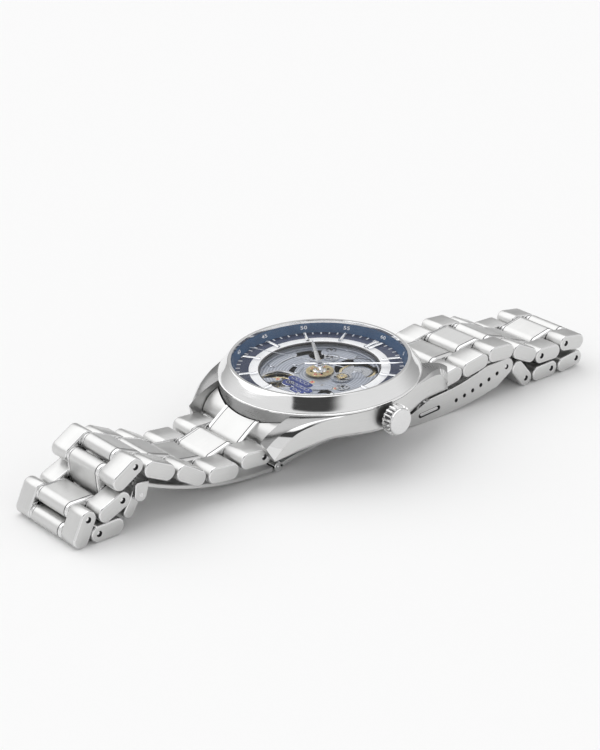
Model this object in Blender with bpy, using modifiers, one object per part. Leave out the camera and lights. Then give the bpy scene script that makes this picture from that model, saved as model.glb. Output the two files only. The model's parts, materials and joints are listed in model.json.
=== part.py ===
"""Automatic skeleton wristwatch, lying dial up on its curled steel bracelet.

Every length below is in millimetres and is turned into metres where a mesh is made.
The head (case, dial, movement) is built in its own frame: the dial centre at the origin,
X to 3 o'clock, Y to 12 o'clock, Z out of the dial. HEAD_HEIGHT and HEAD_TILT set it on the table.
The bracelet and clasp are chains in the Y-Z plane: each piece starts on its first pin and
points along its own +Y to its second pin.
"""
import math

import bmesh
import bpy
from mathutils import Matrix, Vector

MM = 0.001

# how the watch lies
HEAD_HEIGHT = 16.53
HEAD_TILT = math.radians(2.9)

# case and glass
CASE_RADIUS = 20.6
CASE_TOP = -2.25
CASE_BOTTOM = -7.2
LUG_INNER = 11.15
LUG_TIP = 25.0
LUG_TIP_WIDTH = 2.1
BEZEL_RADIUS = 20.5
GLASS_RADIUS = 17.6
MOVEMENT_RADIUS = 13.4
BACK_BOTTOM = -9.4
BACK_RADIUS = 18.6
BACK_WINDOW_RADIUS = 15.0
DIAL_BORE = 18.3
DIAL_BORE_BOTTOM = -5.2
MOVEMENT_BORE = 14.2
BACK_BORE = 18.75

# dial and hands
DIAL_TOP = -1.5
DIAL_INNER = 12.2
DIAL_OUTER = 17.8
HOUR_ANGLE = 303.6
MINUTE_ANGLE = 43.5
SECOND_ANGLE = 249.0
BATON_HALF_WIDTH = 0.3
BATON_INNER = 12.7
BATON_OUTER = 16.6
TWELVE_BATON_SHIFT = 2.2
# each hand: tail length, its half width, half width at the centre and at the tip, length
HOUR_SHAPE = (2.6, 0.35, 0.55, 0.25, 11.4)
MINUTE_SHAPE = (3.0, 0.35, 0.5, 0.2, 16.0)
SECOND_SHAPE = (5.5, 0.18, 0.12, 0.06, 16.2)
HUB_RIM = 0.35
HUB_RISE = 0.04
HOUR_WHEEL_TEETH = 24
HOUR_WHEEL_RADIUS = 2.75

# movement: wheel places are (x, y) on the dial plane
BARREL_PLACE = (3.6, 7.0)
BALANCE_PLACE = (-3.6, -8.0)
MINUTE_WHEEL_PLACE = (4.9, 1.6)
EMBLEM_PLACE = (1.6, -7.2)
EMBLEM_LEVELS = (-2.74, -2.56)
PLATE_LEVELS = (-6.4, -5.0)
BRIDGE_LEVELS = (-3.35, -2.8)
PLATE_WINDOWS = (((-7.4, 4.4), 2.6), ((8.2, -4.6), 2.4), ((-8.6, -2.2), 1.5))
BRIDGE_WINDOWS = ((BARREL_PLACE, 4.7), (BALANCE_PLACE, 3.6), ((-6.6, 5.6), 2.2), ((7.9, -5.4), 1.6),
                  ((0.0, 0.0), 1.25))
PILLAR_CLOCKS = (75.0, 172.0, 292.0)
PILLAR_REACH = 11.6
BEARING_RADIUS = 0.42
ARBOR_RADIUS = 0.35
ARBOR_LOW = -6.2
BALANCE_INNER = 2.7
BALANCE_OUTER = 3.3
BALANCE_LEVELS = (-4.2, -3.7)
ROTOR_RADIUS = 12.9
ROTOR_HUB = 2.2
ROTOR_LEVELS = (-7.7, -6.8)
STUD_RADIUS = 0.9
ROTOR_BORE = 1.0

# crown
CROWN_RADIUS = 3.1
CROWN_START = 21.3
CROWN_END = 24.2
CROWN_HEIGHT = -5.0
CROWN_FLUTES = 20
STEM_RADIUS = 0.55
STEM_START = 13.8
STEM_END = 23.2
CROWN_FOOT_RADIUS = 2.3
CROWN_CAP_RADIUS = 2.85
CROWN_FACE_RADIUS = 2.45

# bracelet: half widths, pin spacing and section
LUG_HALF_WIDTH = 11.0
CLASP_HALF_WIDTH = 9.6
CENTRE_HALF_WIDTH = 5.1
LINK_SPACING = 3.95
LINK_END_RADIUS = 1.75
LINK_HALF_THICKNESS = 1.7
PIN_RADIUS = 0.45
PIN_HOLE_RADIUS = 0.56
SIDE_GAP = 0.12
END_PIN_PLACE = (23.8, -9.1)
# direction of each piece from its first pin to its second, as degrees from +Y towards +Z
SIX_SIDE_ANGLES = (176.5, 196.0, 174.0, 171.5, 148.5, 160.5, 154.5, 157.0, 212.0,
                   276.5, 204.0, 180.5, 245.5, 0.0, 2.0)
TWELVE_SIDE_ANGLES = (10.0, 0.5, 10.0, 6.5, -4.5, -17.5, -25.5, -19.0, -1.5,
                      12.5, -8.5, -90.5, -173.5, 178.0, -178.0, 180.0, 131.0, 158.5)
CLASP_LINK_ANGLES = (-119.5, -159.5)
# outer pieces that show a pin hole, counted from the case
SIX_SIDE_HOLES = (0, 4, 5, 6, 7)
TWELVE_SIDE_HOLES = (0, 4, 5, 6, 7, 8)

# clasp
WRIST_RADIUS = 80.0
COVER_LOW_Y = 23.0
COVER_WALL = 1.0
COVER_FLOOR = 0.9
COVER_HINGE = (14.0, 1.75)
MIDDLE_HINGE = (-17.3, 1.2)
BLADE_HALF_WIDTH = 8.2
BLADE_THICKNESS = 0.9
KNUCKLE_RADIUS = 1.1
BRACKET_PIN = (-51.73, 6.69)
ADJUST_HOLES = 6
FIRST_ADJUST_HOLE = 29.8
ADJUST_PITCH = 2.38
ADJUST_RADIUS = 0.42
COVER_STATIONS = (16.0, 20.0, 24.0, 28.0, 32.0, 36.0, 39.5, 42.5)
COVER_TOP = ((38.9, 7.9), (31.4, 5.97), (24.8, 5.24), (21.3, 4.7), (17.2, 3.05))
SLOT_START = (19.6, 2.0)
SLOT_END = (24.6, 2.35)
SLOT_RADIUS = 0.52
BUTTON_START = (19.85, 2.02)
BUTTON_END = (24.35, 2.34)
BUTTON_RADIUS = 0.38
BUTTON_FOOT = ((18.6, 1.2), (25.6, 1.5), (25.6, 3.3), (18.6, 3.0))
OUTER_BLADE_BULGE = -1.9
INNER_BLADE_BULGE = 2.3
EAR_RADIUS = 1.35
EAR_GAP = 0.45
# through cuts reach past every surface they cross
FAR = 20.0

ROUND = 48
SMALL_ROUND = 8


def clear_scene():
    """Remove every object, so the script can run again in an open file."""
    for old in list(bpy.data.objects):
        bpy.data.objects.remove(old, do_unlink=True)


def new_collection(name):
    """Make a collection in the scene."""
    made = bpy.data.collections.new(name)
    bpy.context.scene.collection.children.link(made)
    return made


def material(name, colour, metallic, roughness, alpha=1.0):
    """A Principled material of one colour."""
    made = bpy.data.materials.new(name)
    made.use_nodes = True
    shader = made.node_tree.nodes["Principled BSDF"]
    shader.inputs["Base Color"].default_value = (*colour, 1.0)
    shader.inputs["Metallic"].default_value = metallic
    shader.inputs["Roughness"].default_value = roughness
    shader.inputs["Alpha"].default_value = alpha
    made.diffuse_color = (*colour, alpha)
    return made


clear_scene()
WATCH = new_collection("skeleton_wristwatch")
CUTTERS = new_collection("cutters")
BRUSHED = material("brushed_steel", (0.62, 0.62, 0.63), 1.0, 0.32)
POLISHED = material("polished_steel", (0.75, 0.75, 0.76), 1.0, 0.12)
GLASS = material("sapphire_glass", (0.9, 0.95, 1.0), 0.0, 0.02, 0.15)
BLUE_RING = material("blue_ring", (0.03, 0.10, 0.25), 0.2, 0.35)
DIAL_BLUE = material("dial_blue", (0.01, 0.02, 0.08), 0.1, 0.4)
RHODIUM = material("rhodium", (0.50, 0.52, 0.56), 1.0, 0.35)
GOLD = material("gilt_brass", (0.80, 0.62, 0.30), 1.0, 0.25)
HAND_STEEL = material("hand_steel", (0.85, 0.86, 0.88), 1.0, 0.15)
EMBLEM_BLUE = material("emblem_blue", (0.04, 0.10, 0.45), 0.3, 0.3)


def tools_object(name, mesh_maker, finish, parent=None, place=(0.0, 0.0, 0.0), turn=0.0,
                 collection=None, smooth=True):
    """Make an object from a bmesh builder, with its origin at place (millimetres)."""
    mesh = bpy.data.meshes.new(name)
    bm = bmesh.new()
    mesh_maker(bm)
    bmesh.ops.recalc_face_normals(bm, faces=bm.faces)
    bm.to_mesh(mesh)
    bm.free()
    made = bpy.data.objects.new(name, mesh)
    (collection or WATCH).objects.link(made)
    made.location = Vector(place) * MM
    made.rotation_euler.x = turn
    made.parent = parent
    if finish:
        mesh.materials.append(finish)
    if smooth:
        mesh.shade_smooth()
    return made


def add_prism(bm, outline, low, high, axis):
    """Fill an outline and extrude it along X (outline is y, z) or along Z (outline is x, y)."""
    if axis == "X":
        corners = [bm.verts.new(Vector((low, a, b)) * MM) for a, b in outline]
        step = Vector((high - low, 0.0, 0.0)) * MM
    else:
        corners = [bm.verts.new(Vector((a, b, low)) * MM) for a, b in outline]
        step = Vector((0.0, 0.0, high - low)) * MM
    face = bm.faces.new(corners)
    grown = bmesh.ops.extrude_face_region(bm, geom=[face])
    moved = [item for item in grown["geom"] if isinstance(item, bmesh.types.BMVert)]
    bmesh.ops.translate(bm, verts=moved, vec=step)


def add_cylinder(bm, radius, low, high, axis, centre, segments=SMALL_ROUND, end_radius=None):
    """A cylinder or cone frustum between low and high along X or Z, at centre on the other two axes."""
    middle = (low + high) / 2.0
    if axis == "X":
        place = Matrix.Translation(Vector((middle, *centre)) * MM) @ Matrix.Rotation(math.pi / 2, 4, "Y")
    else:
        place = Matrix.Translation(Vector((*centre, middle)) * MM)
    top = radius if end_radius is None else end_radius
    bmesh.ops.create_cone(bm, cap_ends=True, segments=segments, radius1=radius * MM, radius2=top * MM,
                          depth=(high - low) * MM, matrix=place)


def helper(name, mesh_maker, target, operation, place=None, turn=None, crossing=False):
    """Cut target with a tool shape, or join it, in the target's frame. A crossing tool overlaps itself."""
    tool = tools_object(name, mesh_maker, None, parent=target, collection=CUTTERS, smooth=False)
    if place is not None:
        tool.location = Vector(place) * MM
    if turn is not None:
        tool.rotation_euler = turn
    tool.hide_render = True
    tool.display_type = "WIRE"
    step = target.modifiers.new(name, "BOOLEAN")
    step.operation = operation
    step.solver = "EXACT"
    step.use_self = crossing
    step.object = tool
    return tool


def turned(name, profile, finish, parent=None, place=(0.0, 0.0, 0.0), closed=True, steps=ROUND):
    """Turn a profile of (radius, z) points about Z. Its outer side runs from the top down."""
    mesh = bpy.data.meshes.new(name)
    bm = bmesh.new()
    points = [bm.verts.new(Vector((radius, 0.0, z)) * MM) for radius, z in profile]
    for first, second in zip(points, points[1:]):
        bm.edges.new((first, second))
    if closed:
        bm.edges.new((points[-1], points[0]))
    bm.to_mesh(mesh)
    bm.free()
    made = bpy.data.objects.new(name, mesh)
    WATCH.objects.link(made)
    made.location = Vector(place) * MM
    made.parent = parent
    mesh.materials.append(finish)
    screw = made.modifiers.new("turn", "SCREW")
    screw.angle = math.tau
    screw.steps = steps
    screw.render_steps = steps
    screw.axis = "Z"
    screw.use_merge_vertices = True
    screw.merge_threshold = 0.00001
    screw.use_smooth_shade = True
    return made


def arc(centre, radius, start, end, steps):
    """Points on a circle between two angles in degrees, both ends included."""
    angles = [math.radians(start + (end - start) * i / steps) for i in range(steps + 1)]
    return [(centre[0] + radius * math.cos(a), centre[1] + radius * math.sin(a)) for a in angles]


def polar(radius, clock_degrees):
    """A dial point at an angle measured clockwise from 12 o'clock."""
    angle = math.radians(clock_degrees)
    return radius * math.sin(angle), radius * math.cos(angle)


# ---------------------------------------------------------------- head

HEAD = bpy.data.objects.new("head_frame", None)
WATCH.objects.link(HEAD)
HEAD.location = (0.0, 0.0, HEAD_HEIGHT * MM)
HEAD.rotation_euler.x = HEAD_TILT


def mirrored_y(points):
    """A side outline for both ends: the points run from the top middle to the bottom middle."""
    return points + [(-y, z) for y, z in reversed(points)]


def case_plan():
    """The case from above: the round middle with four straight-sided lugs."""
    tip_x = LUG_INNER + LUG_TIP_WIDTH
    reach = math.hypot(tip_x, LUG_TIP)
    tangent = math.degrees(math.atan2(LUG_TIP, tip_x) - math.acos(CASE_RADIUS / reach))
    inner = math.degrees(math.acos(LUG_INNER / CASE_RADIUS))
    quarter = arc((0, 0), CASE_RADIUS, 0, tangent, 4)
    quarter += [(tip_x, LUG_TIP), (LUG_INNER, LUG_TIP)]
    quarter += arc((0, 0), CASE_RADIUS, inner, 90, 7)
    half = quarter + [(-x, y) for x, y in reversed(quarter[:-1])]
    return half + [(x, -y) for x, y in reversed(half[1:-1])]


def case_side():
    """The case from 3 o'clock: a flat top that falls along the lugs to their tips."""
    return mirrored_y([(15.5, CASE_TOP), (17.5, -2.55), (20.0, -3.2), (22.5, -4.1), (24.6, -5.3),
                       (24.9, -6.2), (24.0, -8.0), (22.6, -9.7), (21.1, -8.8), (19.1, -8.15),
                       (16.3, -7.6), (11.9, CASE_BOTTOM)])


def make_case():
    """Case middle with lugs, bored for the movement and for the winding stem."""
    case = tools_object("case_middle", lambda bm: add_prism(bm, case_plan(), -10.0, CASE_TOP, "Z"),
                        BRUSHED, HEAD)
    helper("case_side_shape", lambda bm: add_prism(bm, case_side(), -30.0, 30.0, "X"), case, "INTERSECT")

    def crown_boss(bm):
        add_cylinder(bm, 1.6, 19.0, CROWN_START - 0.2, "X", (0.0, CROWN_HEIGHT), 16)

    def bore(bm):
        add_cylinder(bm, DIAL_BORE, DIAL_BORE_BOTTOM, 0.0, "Z", (0, 0), ROUND)
        add_cylinder(bm, MOVEMENT_BORE, -12.0, -4.0, "Z", (0, 0), ROUND)
        add_cylinder(bm, BACK_BORE, -12.0, CASE_BOTTOM, "Z", (0, 0), ROUND)

    def stem_hole(bm):
        add_cylinder(bm, STEM_RADIUS + 0.12, 10.0, 23.0, "X", (0.0, CROWN_HEIGHT), 12)

    helper("case_crown_boss", crown_boss, case, "UNION")
    helper("case_bore", bore, case, "DIFFERENCE", crossing=True)
    helper("case_stem_hole", stem_hole, case, "DIFFERENCE")
    return case


def make_bezel_and_glass():
    """Bezel ring with its thin foot, wide sloped band and narrow top rim; glass; blue inner ring."""
    turned("bezel", [(GLASS_RADIUS + 0.1, 0.95), (18.45, 0.97), (BEZEL_RADIUS, -1.45),
                     (BEZEL_RADIUS, -1.75), (20.7, -1.78), (20.7, CASE_TOP + 0.03),
                     (18.45, CASE_TOP + 0.03), (18.45, 0.3), (GLASS_RADIUS + 0.1, 0.3)], POLISHED, HEAD)
    turned("crystal", [(0.0, 1.2), (9.0, 1.15), (GLASS_RADIUS - 0.2, 1.0), (GLASS_RADIUS, 0.85),
                       (GLASS_RADIUS, 0.32), (0.0, 0.32)], GLASS, HEAD, closed=False)
    turned("rehaut_ring", [(17.65, 0.25), (18.2, 0.25), (18.2, -2.0), (17.95, -2.0), (17.95, -1.45),
                           (16.9, -1.45)], BLUE_RING, HEAD)


def make_back():
    """Screw-down back with its window."""
    top = CASE_BOTTOM - 0.05
    turned("caseback", [(0.0, -8.6), (BACK_WINDOW_RADIUS, -8.6), (BACK_WINDOW_RADIUS, top), (BACK_RADIUS, top),
                        (BACK_RADIUS - 0.3, -8.3), (BACK_RADIUS - 2.0, BACK_BOTTOM), (0.0, BACK_BOTTOM)],
           POLISHED, HEAD, closed=False)


def baton(bm, angle, half_width, inner, outer, low, high):
    """A raised bar that points at the dial centre."""
    along = Vector(polar(1.0, angle))
    across = Vector((along.y, -along.x))
    corners = [along * inner - across * half_width, along * inner + across * half_width,
               along * outer + across * half_width, along * outer - across * half_width]
    add_prism(bm, [tuple(corner) for corner in corners], low, high, "Z")


def make_dial():
    """Ring dial, open in the middle, with an hour baton at each hour and two side by side at 12."""
    low = DIAL_TOP - 0.4
    dial = turned("dial_ring", [(DIAL_INNER, DIAL_TOP), (DIAL_OUTER, DIAL_TOP), (DIAL_OUTER, low),
                                (DIAL_INNER, low)], DIAL_BLUE, HEAD)

    def batons(bm):
        angles = [30.0 * hour for hour in range(1, 12)] + [-TWELVE_BATON_SHIFT, TWELVE_BATON_SHIFT]
        for angle in angles:
            baton(bm, angle, BATON_HALF_WIDTH, BATON_INNER, BATON_OUTER, DIAL_TOP - 0.2, DIAL_TOP + 0.3)

    helper("dial_batons", batons, dial, "UNION")


def gear_outline(centre, teeth, radius, depth):
    """A toothed wheel's rim: each tooth is a small trapezium."""
    points = []
    pitch = math.tau / teeth
    for tooth in range(teeth):
        for share, out in ((0.0, 0), (0.3, 1), (0.55, 1), (0.85, 0)):
            angle = pitch * (tooth + share)
            reach = radius if out else radius - depth
            points.append((centre[0] + reach * math.cos(angle), centre[1] + reach * math.sin(angle)))
    return points


def hand_outline(angle, tail, tail_half, root_half, tip_half, length):
    """A hand from its tail through its widest place to its tip, turned to its clock angle."""
    along = Vector(polar(1.0, angle))
    across = Vector((along.y, -along.x))
    stations = [(-tail, tail_half), (0.0, root_half), (length * 0.9, tip_half * 1.4), (length, tip_half)]
    left = [along * reach - across * half for reach, half in stations]
    right = [along * reach + across * half for reach, half in reversed(stations)]
    return [tuple(point) for point in left + right]


def make_hand(name, angle, shape, level, thickness, tube, bore, tube_bottom, wheel=None):
    """A hand on its tube, which runs down inside the next hand's tube and is bored for the one above."""
    blade = hand_outline(angle, *shape)

    def body(bm):
        add_prism(bm, blade, level, level + thickness, "Z")

    hand = tools_object(name, body, HAND_STEEL, HEAD, smooth=False)

    def hub(bm):
        add_cylinder(bm, tube + HUB_RIM, level - HUB_RISE, level + thickness + HUB_RISE, "Z", (0, 0), 16)

    def stalk(bm):
        add_cylinder(bm, tube, tube_bottom, level + thickness / 2, "Z", (0, 0), 16)

    helper(name + "_hub", hub, hand, "UNION")
    helper(name + "_stalk", stalk, hand, "UNION")
    if wheel:
        helper(name + "_wheel", wheel, hand, "UNION")
    if bore:
        helper(name + "_bore", lambda bm: add_cylinder(bm, bore, -9.0, 1.0, "Z", (0, 0), 12),
               hand, "DIFFERENCE")
    return hand


def make_hands():
    """Hour, minute and second hands on three nested tubes."""
    def hour_wheel(bm):
        add_prism(bm, gear_outline((0, 0), HOUR_WHEEL_TEETH, HOUR_WHEEL_RADIUS, 0.3), -2.5, -2.25, "Z")

    make_hand("hour_hand", HOUR_ANGLE, HOUR_SHAPE, -0.98, 0.15, 1.0, 0.78, -2.4, hour_wheel)
    make_hand("minute_hand", MINUTE_ANGLE, MINUTE_SHAPE, -0.66, 0.15, 0.66, 0.42, -3.4)
    make_hand("second_hand", SECOND_ANGLE, SECOND_SHAPE, -0.34, 0.1, 0.3, None, -4.6)


def make_movement():
    """Plates, wheels, balance and winding weight."""
    def disc(levels):
        return lambda bm: add_cylinder(bm, MOVEMENT_RADIUS, *levels, "Z", (0, 0), 36)

    plate = tools_object("mainplate", disc(PLATE_LEVELS), RHODIUM, HEAD)

    def plate_windows(bm):
        add_cylinder(bm, 0.5, -7.0, -4.0, "Z", (0, 0), 10)
        for place in (BARREL_PLACE, BALANCE_PLACE, MINUTE_WHEEL_PLACE):
            add_cylinder(bm, BEARING_RADIUS, -7.0, -4.0, "Z", place, 10)
        for place, radius in PLATE_WINDOWS:
            add_cylinder(bm, radius, -7.0, -4.0, "Z", place, 16)

    def rotor_stud(bm):
        add_cylinder(bm, STUD_RADIUS, -8.1, -6.0, "Z", (0, 0), 12)

    helper("mainplate_windows", plate_windows, plate, "DIFFERENCE")
    helper("mainplate_stud", rotor_stud, plate, "UNION")

    bridge = tools_object("train_bridge", disc(BRIDGE_LEVELS), RHODIUM, HEAD)

    def bridge_windows(bm):
        for place, radius in BRIDGE_WINDOWS:
            add_cylinder(bm, radius, -4.0, -2.0, "Z", place, 24 if radius > 3.0 else 16)
        add_cylinder(bm, BEARING_RADIUS, -4.0, -2.0, "Z", MINUTE_WHEEL_PLACE, 10)

    def pillars(bm):
        for angle in PILLAR_CLOCKS:
            add_cylinder(bm, 0.9, PLATE_LEVELS[1] + 0.03, -3.0, "Z", polar(PILLAR_REACH, angle), 10)

    helper("bridge_windows", bridge_windows, bridge, "DIFFERENCE")
    helper("bridge_pillars", pillars, bridge, "UNION")

    def wheel(name, place, teeth, radius, low, high, arbor_top):
        rim = gear_outline((0, 0), teeth, radius, 0.32)
        made = tools_object(name, lambda bm: add_prism(bm, rim, low, high, "Z"), GOLD, HEAD, (*place, 0.0),
                            smooth=False)
        helper(name + "_arbor", lambda bm: add_cylinder(bm, ARBOR_RADIUS, ARBOR_LOW, arbor_top, "Z", (0, 0)),
               made, "UNION")

    wheel("mainspring_barrel", BARREL_PLACE, 36, 4.3, -4.75, -3.75, -3.3)
    wheel("minute_wheel", MINUTE_WHEEL_PLACE, 20, 2.3, -2.7, -2.45, -2.2)

    low, high = BALANCE_LEVELS
    balance = turned("balance_wheel", [(BALANCE_INNER, high), (BALANCE_OUTER, high), (BALANCE_OUTER, low),
                                       (BALANCE_INNER, low)], GOLD, HEAD, (*BALANCE_PLACE, 0.0), steps=32)

    def balance_arms(bm):
        for turn in range(3):
            baton(bm, 120.0 * turn + 10.0, 0.28, 0.0, 3.0, -4.1, -3.8)
        add_cylinder(bm, ARBOR_RADIUS, ARBOR_LOW, -3.2, "Z", (0, 0))
        add_cylinder(bm, 0.8, -4.15, -3.75, "Z", (0, 0), 12)

    helper("balance_arms", balance_arms, balance, "UNION", crossing=True)

    weight = arc((0, 0), ROTOR_RADIUS, 180, 360, 18) + arc((0, 0), ROTOR_HUB, 0, 180, 8)
    rotor = tools_object("rotor", lambda bm: add_prism(bm, weight, *ROTOR_LEVELS, "Z"), RHODIUM, HEAD)
    helper("rotor_bore", lambda bm: add_cylinder(bm, ROTOR_BORE, -9.0, -6.0, "Z", (0, 0), 12),
           rotor, "DIFFERENCE")


def make_emblem():
    """A plain blue badge on the movement, a rounded bar with a smaller disc below it."""
    x, y = EMBLEM_PLACE
    bar = arc((x - 2.8, y + 1.3), 1.6, 90, 270, 6) + arc((x + 2.8, y + 1.3), 1.6, -90, 90, 6)
    emblem = tools_object("emblem_plate", lambda bm: add_prism(bm, bar, *EMBLEM_LEVELS, "Z"), EMBLEM_BLUE,
                          HEAD, smooth=False)
    helper("emblem_disc", lambda bm: add_cylinder(bm, 2.0, *EMBLEM_LEVELS, "Z", (x + 0.4, y - 1.4), 16),
           emblem, "UNION")


def make_crown():
    """Fluted crown on the winding stem."""
    axis = (0.0, CROWN_HEIGHT)
    tools_object("winding_stem",
                 lambda bm: add_cylinder(bm, STEM_RADIUS, STEM_START, STEM_END, "X", (0, 0), 12),
                 BRUSHED, HEAD, (0.0, *axis))
    flutes = []
    for flute in range(CROWN_FLUTES):
        for share, reach in ((0.0, 0.88), (0.25, 1.0), (0.6, 1.0), (0.85, 0.88)):
            angle = math.tau * (flute + share) / CROWN_FLUTES
            out = CROWN_RADIUS * reach
            flutes.append((out * math.cos(angle), out * math.sin(angle)))
    crown = tools_object("crown", lambda bm: add_prism(bm, flutes, CROWN_START + 0.35, CROWN_END - 0.5, "X"),
                         POLISHED, HEAD, (0.0, *axis))

    def foot(bm):
        add_cylinder(bm, CROWN_FOOT_RADIUS, CROWN_START, CROWN_END - 1.0, "X", (0, 0), 24)

    def cap(bm):
        add_cylinder(bm, CROWN_CAP_RADIUS, CROWN_END - 0.8, CROWN_END, "X", (0, 0), 24, CROWN_FACE_RADIUS)

    helper("crown_foot", foot, crown, "UNION")
    helper("crown_cap", cap, crown, "UNION")
    helper("crown_bore", lambda bm: add_cylinder(bm, STEM_RADIUS + 0.08, 15.0, 23.3, "X", (0, 0), 12),
           crown, "DIFFERENCE")


# ---------------------------------------------------------------- bracelet

def link_outline(half_thickness=LINK_HALF_THICKNESS, end_radius=LINK_END_RADIUS):
    """A bracelet piece from the side: two round ends on its pins, flattened above and below."""
    points = arc((LINK_SPACING, 0.0), end_radius, -80, 80, 5)
    points += arc((0.0, 0.0), end_radius, 100, 260, 5)
    return [(y, max(-half_thickness, min(half_thickness, z))) for y, z in points]


def outer_piece(name, place, turn, half_width, side_holes, outline=None, drop_last_pin=False):
    """Both side plates of one row of the bracelet, joined by the pins that carry the centre pieces."""
    shape = outline or link_outline()
    inner = CENTRE_HALF_WIDTH + SIDE_GAP

    def plates(bm):
        add_prism(bm, shape, inner, half_width, "X")
        add_prism(bm, shape, -half_width, -inner, "X")

    piece = tools_object(name, plates, BRUSHED, None, place, turn, smooth=False)
    if side_holes:
        def holes(bm):
            for side in (1, -1):
                low, high = sorted((side * (half_width - 0.8), side * (half_width + 1.0)))
                add_cylinder(bm, PIN_RADIUS + 0.18, low, high, "X", (0.0, 0.0))
        helper(name + "_holes", holes, piece, "DIFFERENCE")
    reach = half_width - 0.4 if side_holes else half_width - 1.0

    def pins(bm):
        add_cylinder(bm, PIN_RADIUS, -reach, reach, "X", (0.0, 0.0))
        if not drop_last_pin:
            add_cylinder(bm, PIN_RADIUS, 1.0 - half_width, half_width - 1.0, "X", (LINK_SPACING, 0.0))

    helper(name + "_pins", pins, piece, "UNION")
    return piece


def centre_piece(name, place, turn, holes=(True, True)):
    """One centre piece, bored for its two pins."""
    half = CENTRE_HALF_WIDTH
    piece = tools_object(name, lambda bm: add_prism(bm, link_outline(), -half, half, "X"), BRUSHED, None,
                         place, turn, smooth=False)

    def bores(bm):
        for bored, y in zip(holes, (0.0, LINK_SPACING)):
            if bored:
                add_cylinder(bm, PIN_HOLE_RADIUS, -FAR, FAR, "X", (y, 0.0))

    helper(name + "_bores", bores, piece, "DIFFERENCE")
    return piece


def head_to_world(y, z):
    """A point of the head's Y-Z plane, as it stands on the table."""
    cos_tilt, sin_tilt = math.cos(HEAD_TILT), math.sin(HEAD_TILT)
    return y * cos_tilt - z * sin_tilt, HEAD_HEIGHT + y * sin_tilt + z * cos_tilt


def chain(prefix, start, angles, hole_rows, open_end=False):
    """Lay the bracelet's pieces one after another from the case, and return the last pin's place."""
    y, z = start
    for index, degrees in enumerate(angles):
        turn = math.radians(degrees)
        row = index // 2
        if index % 2 == 0:
            taper = min(1.0, row / 6.0)
            half_width = LUG_HALF_WIDTH + (CLASP_HALF_WIDTH - LUG_HALF_WIDTH) * taper
            last = open_end and index == len(angles) - 1
            outer_piece(f"{prefix}_outer_{row + 1}", (0.0, y, z), turn, half_width, row in hole_rows,
                        drop_last_pin=last)
        else:
            centre_piece(f"{prefix}_centre_{row + 1}", (0.0, y, z), turn)
        y += LINK_SPACING * math.cos(turn)
        z += LINK_SPACING * math.sin(turn)
    return y, z


def make_end_link(name, side):
    """End link between the lugs: a shoulder that follows the case and a tongue for the first row."""
    pin_y, pin_z = END_PIN_PLACE
    shoulder = [(15.0, -3.2), (19.0, -4.2), (20.6, -5.2), (21.5, -6.6), (21.7, -8.2), (21.0, -9.4),
                (15.0, -8.2)]
    nose = arc(END_PIN_PLACE, LINK_END_RADIUS, 35, -100, 5)
    tongue = [(15.0, -3.2), (19.3, -4.4), (22.0, -5.9), (24.2, -7.4)] + nose + [(21.0, -9.6), (15.0, -8.2)]

    def flip(points):
        return [(side * y, z) for y, z in points]

    def across(outline, half):
        return lambda bm: add_prism(bm, flip(outline), -half, half, "X")

    def bore(bm):
        add_cylinder(bm, PIN_HOLE_RADIUS, -FAR, FAR, "X", (side * pin_y, pin_z))

    link = tools_object(name, across(shoulder, LUG_HALF_WIDTH), BRUSHED, HEAD, smooth=False)
    helper(name + "_tongue", across(tongue, CENTRE_HALF_WIDTH), link, "UNION")
    helper(name + "_case_cut", lambda bm: add_cylinder(bm, CASE_RADIUS + 0.15, -12.0, 0.0, "Z", (0, 0), 96),
           link, "DIFFERENCE")
    helper(name + "_bore", bore, link, "DIFFERENCE")


# ---------------------------------------------------------------- clasp

def cover_bottom(y):
    """Height of the cover's outer face, which follows a wrist's curve."""
    return WRIST_RADIUS - math.sqrt(WRIST_RADIUS ** 2 - (y - COVER_LOW_Y) ** 2)


def make_cover(end_pin):
    """Clasp cover: a curved floor with two side walls, hinge pin, bar and adjustment holes."""
    low_run = [(y, cover_bottom(y)) for y in COVER_STATIONS]
    end = arc(end_pin, 1.95, -60, 95, 6)
    hinge = arc(COVER_HINGE, KNUCKLE_RADIUS + 0.1, 100, 270, 5)
    outline = low_run + end + list(COVER_TOP) + hinge
    half = CLASP_HALF_WIDTH
    cover = tools_object("clasp_cover", lambda bm: add_prism(bm, outline, -half, half, "X"), BRUSHED, None,
                         (0.0, *end_pin), smooth=False)
    back = (0.0, -end_pin[0], -end_pin[1])
    inside = [(10.0, -3.0), (16.0, -3.0)] + [(y, z + COVER_FLOOR) for y, z in low_run]
    inside += [(43.5, -3.0), (50.0, -3.0), (50.0, 12.0), (10.0, 12.0)]
    half_inside = CLASP_HALF_WIDTH - COVER_WALL
    cover.data.transform(Matrix.Translation(Vector(back) * MM))
    helper("cover_inside", lambda bm: add_prism(bm, inside, -half_inside, half_inside, "X"), cover,
           "DIFFERENCE", back)

    def wall_holes(bm):
        for hole in range(ADJUST_HOLES):
            y = FIRST_ADJUST_HOLE + ADJUST_PITCH * hole
            add_cylinder(bm, ADJUST_RADIUS, -FAR, FAR, "X", (y, cover_bottom(y) + 2.3 + 0.18 * hole))
        slot = arc(SLOT_START, SLOT_RADIUS, 90, 270, 4) + arc(SLOT_END, SLOT_RADIUS, -90, 90, 4)
        add_prism(bm, slot, -FAR, FAR, "X")

    def cross_pins(bm):
        reach = CLASP_HALF_WIDTH - 0.3
        add_cylinder(bm, PIN_RADIUS, -reach, reach, "X", end_pin)
        add_cylinder(bm, PIN_RADIUS, -reach, reach, "X", COVER_HINGE)

    helper("cover_holes", wall_holes, cover, "DIFFERENCE", back)
    helper("cover_pins", cross_pins, cover, "UNION", back)


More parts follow.
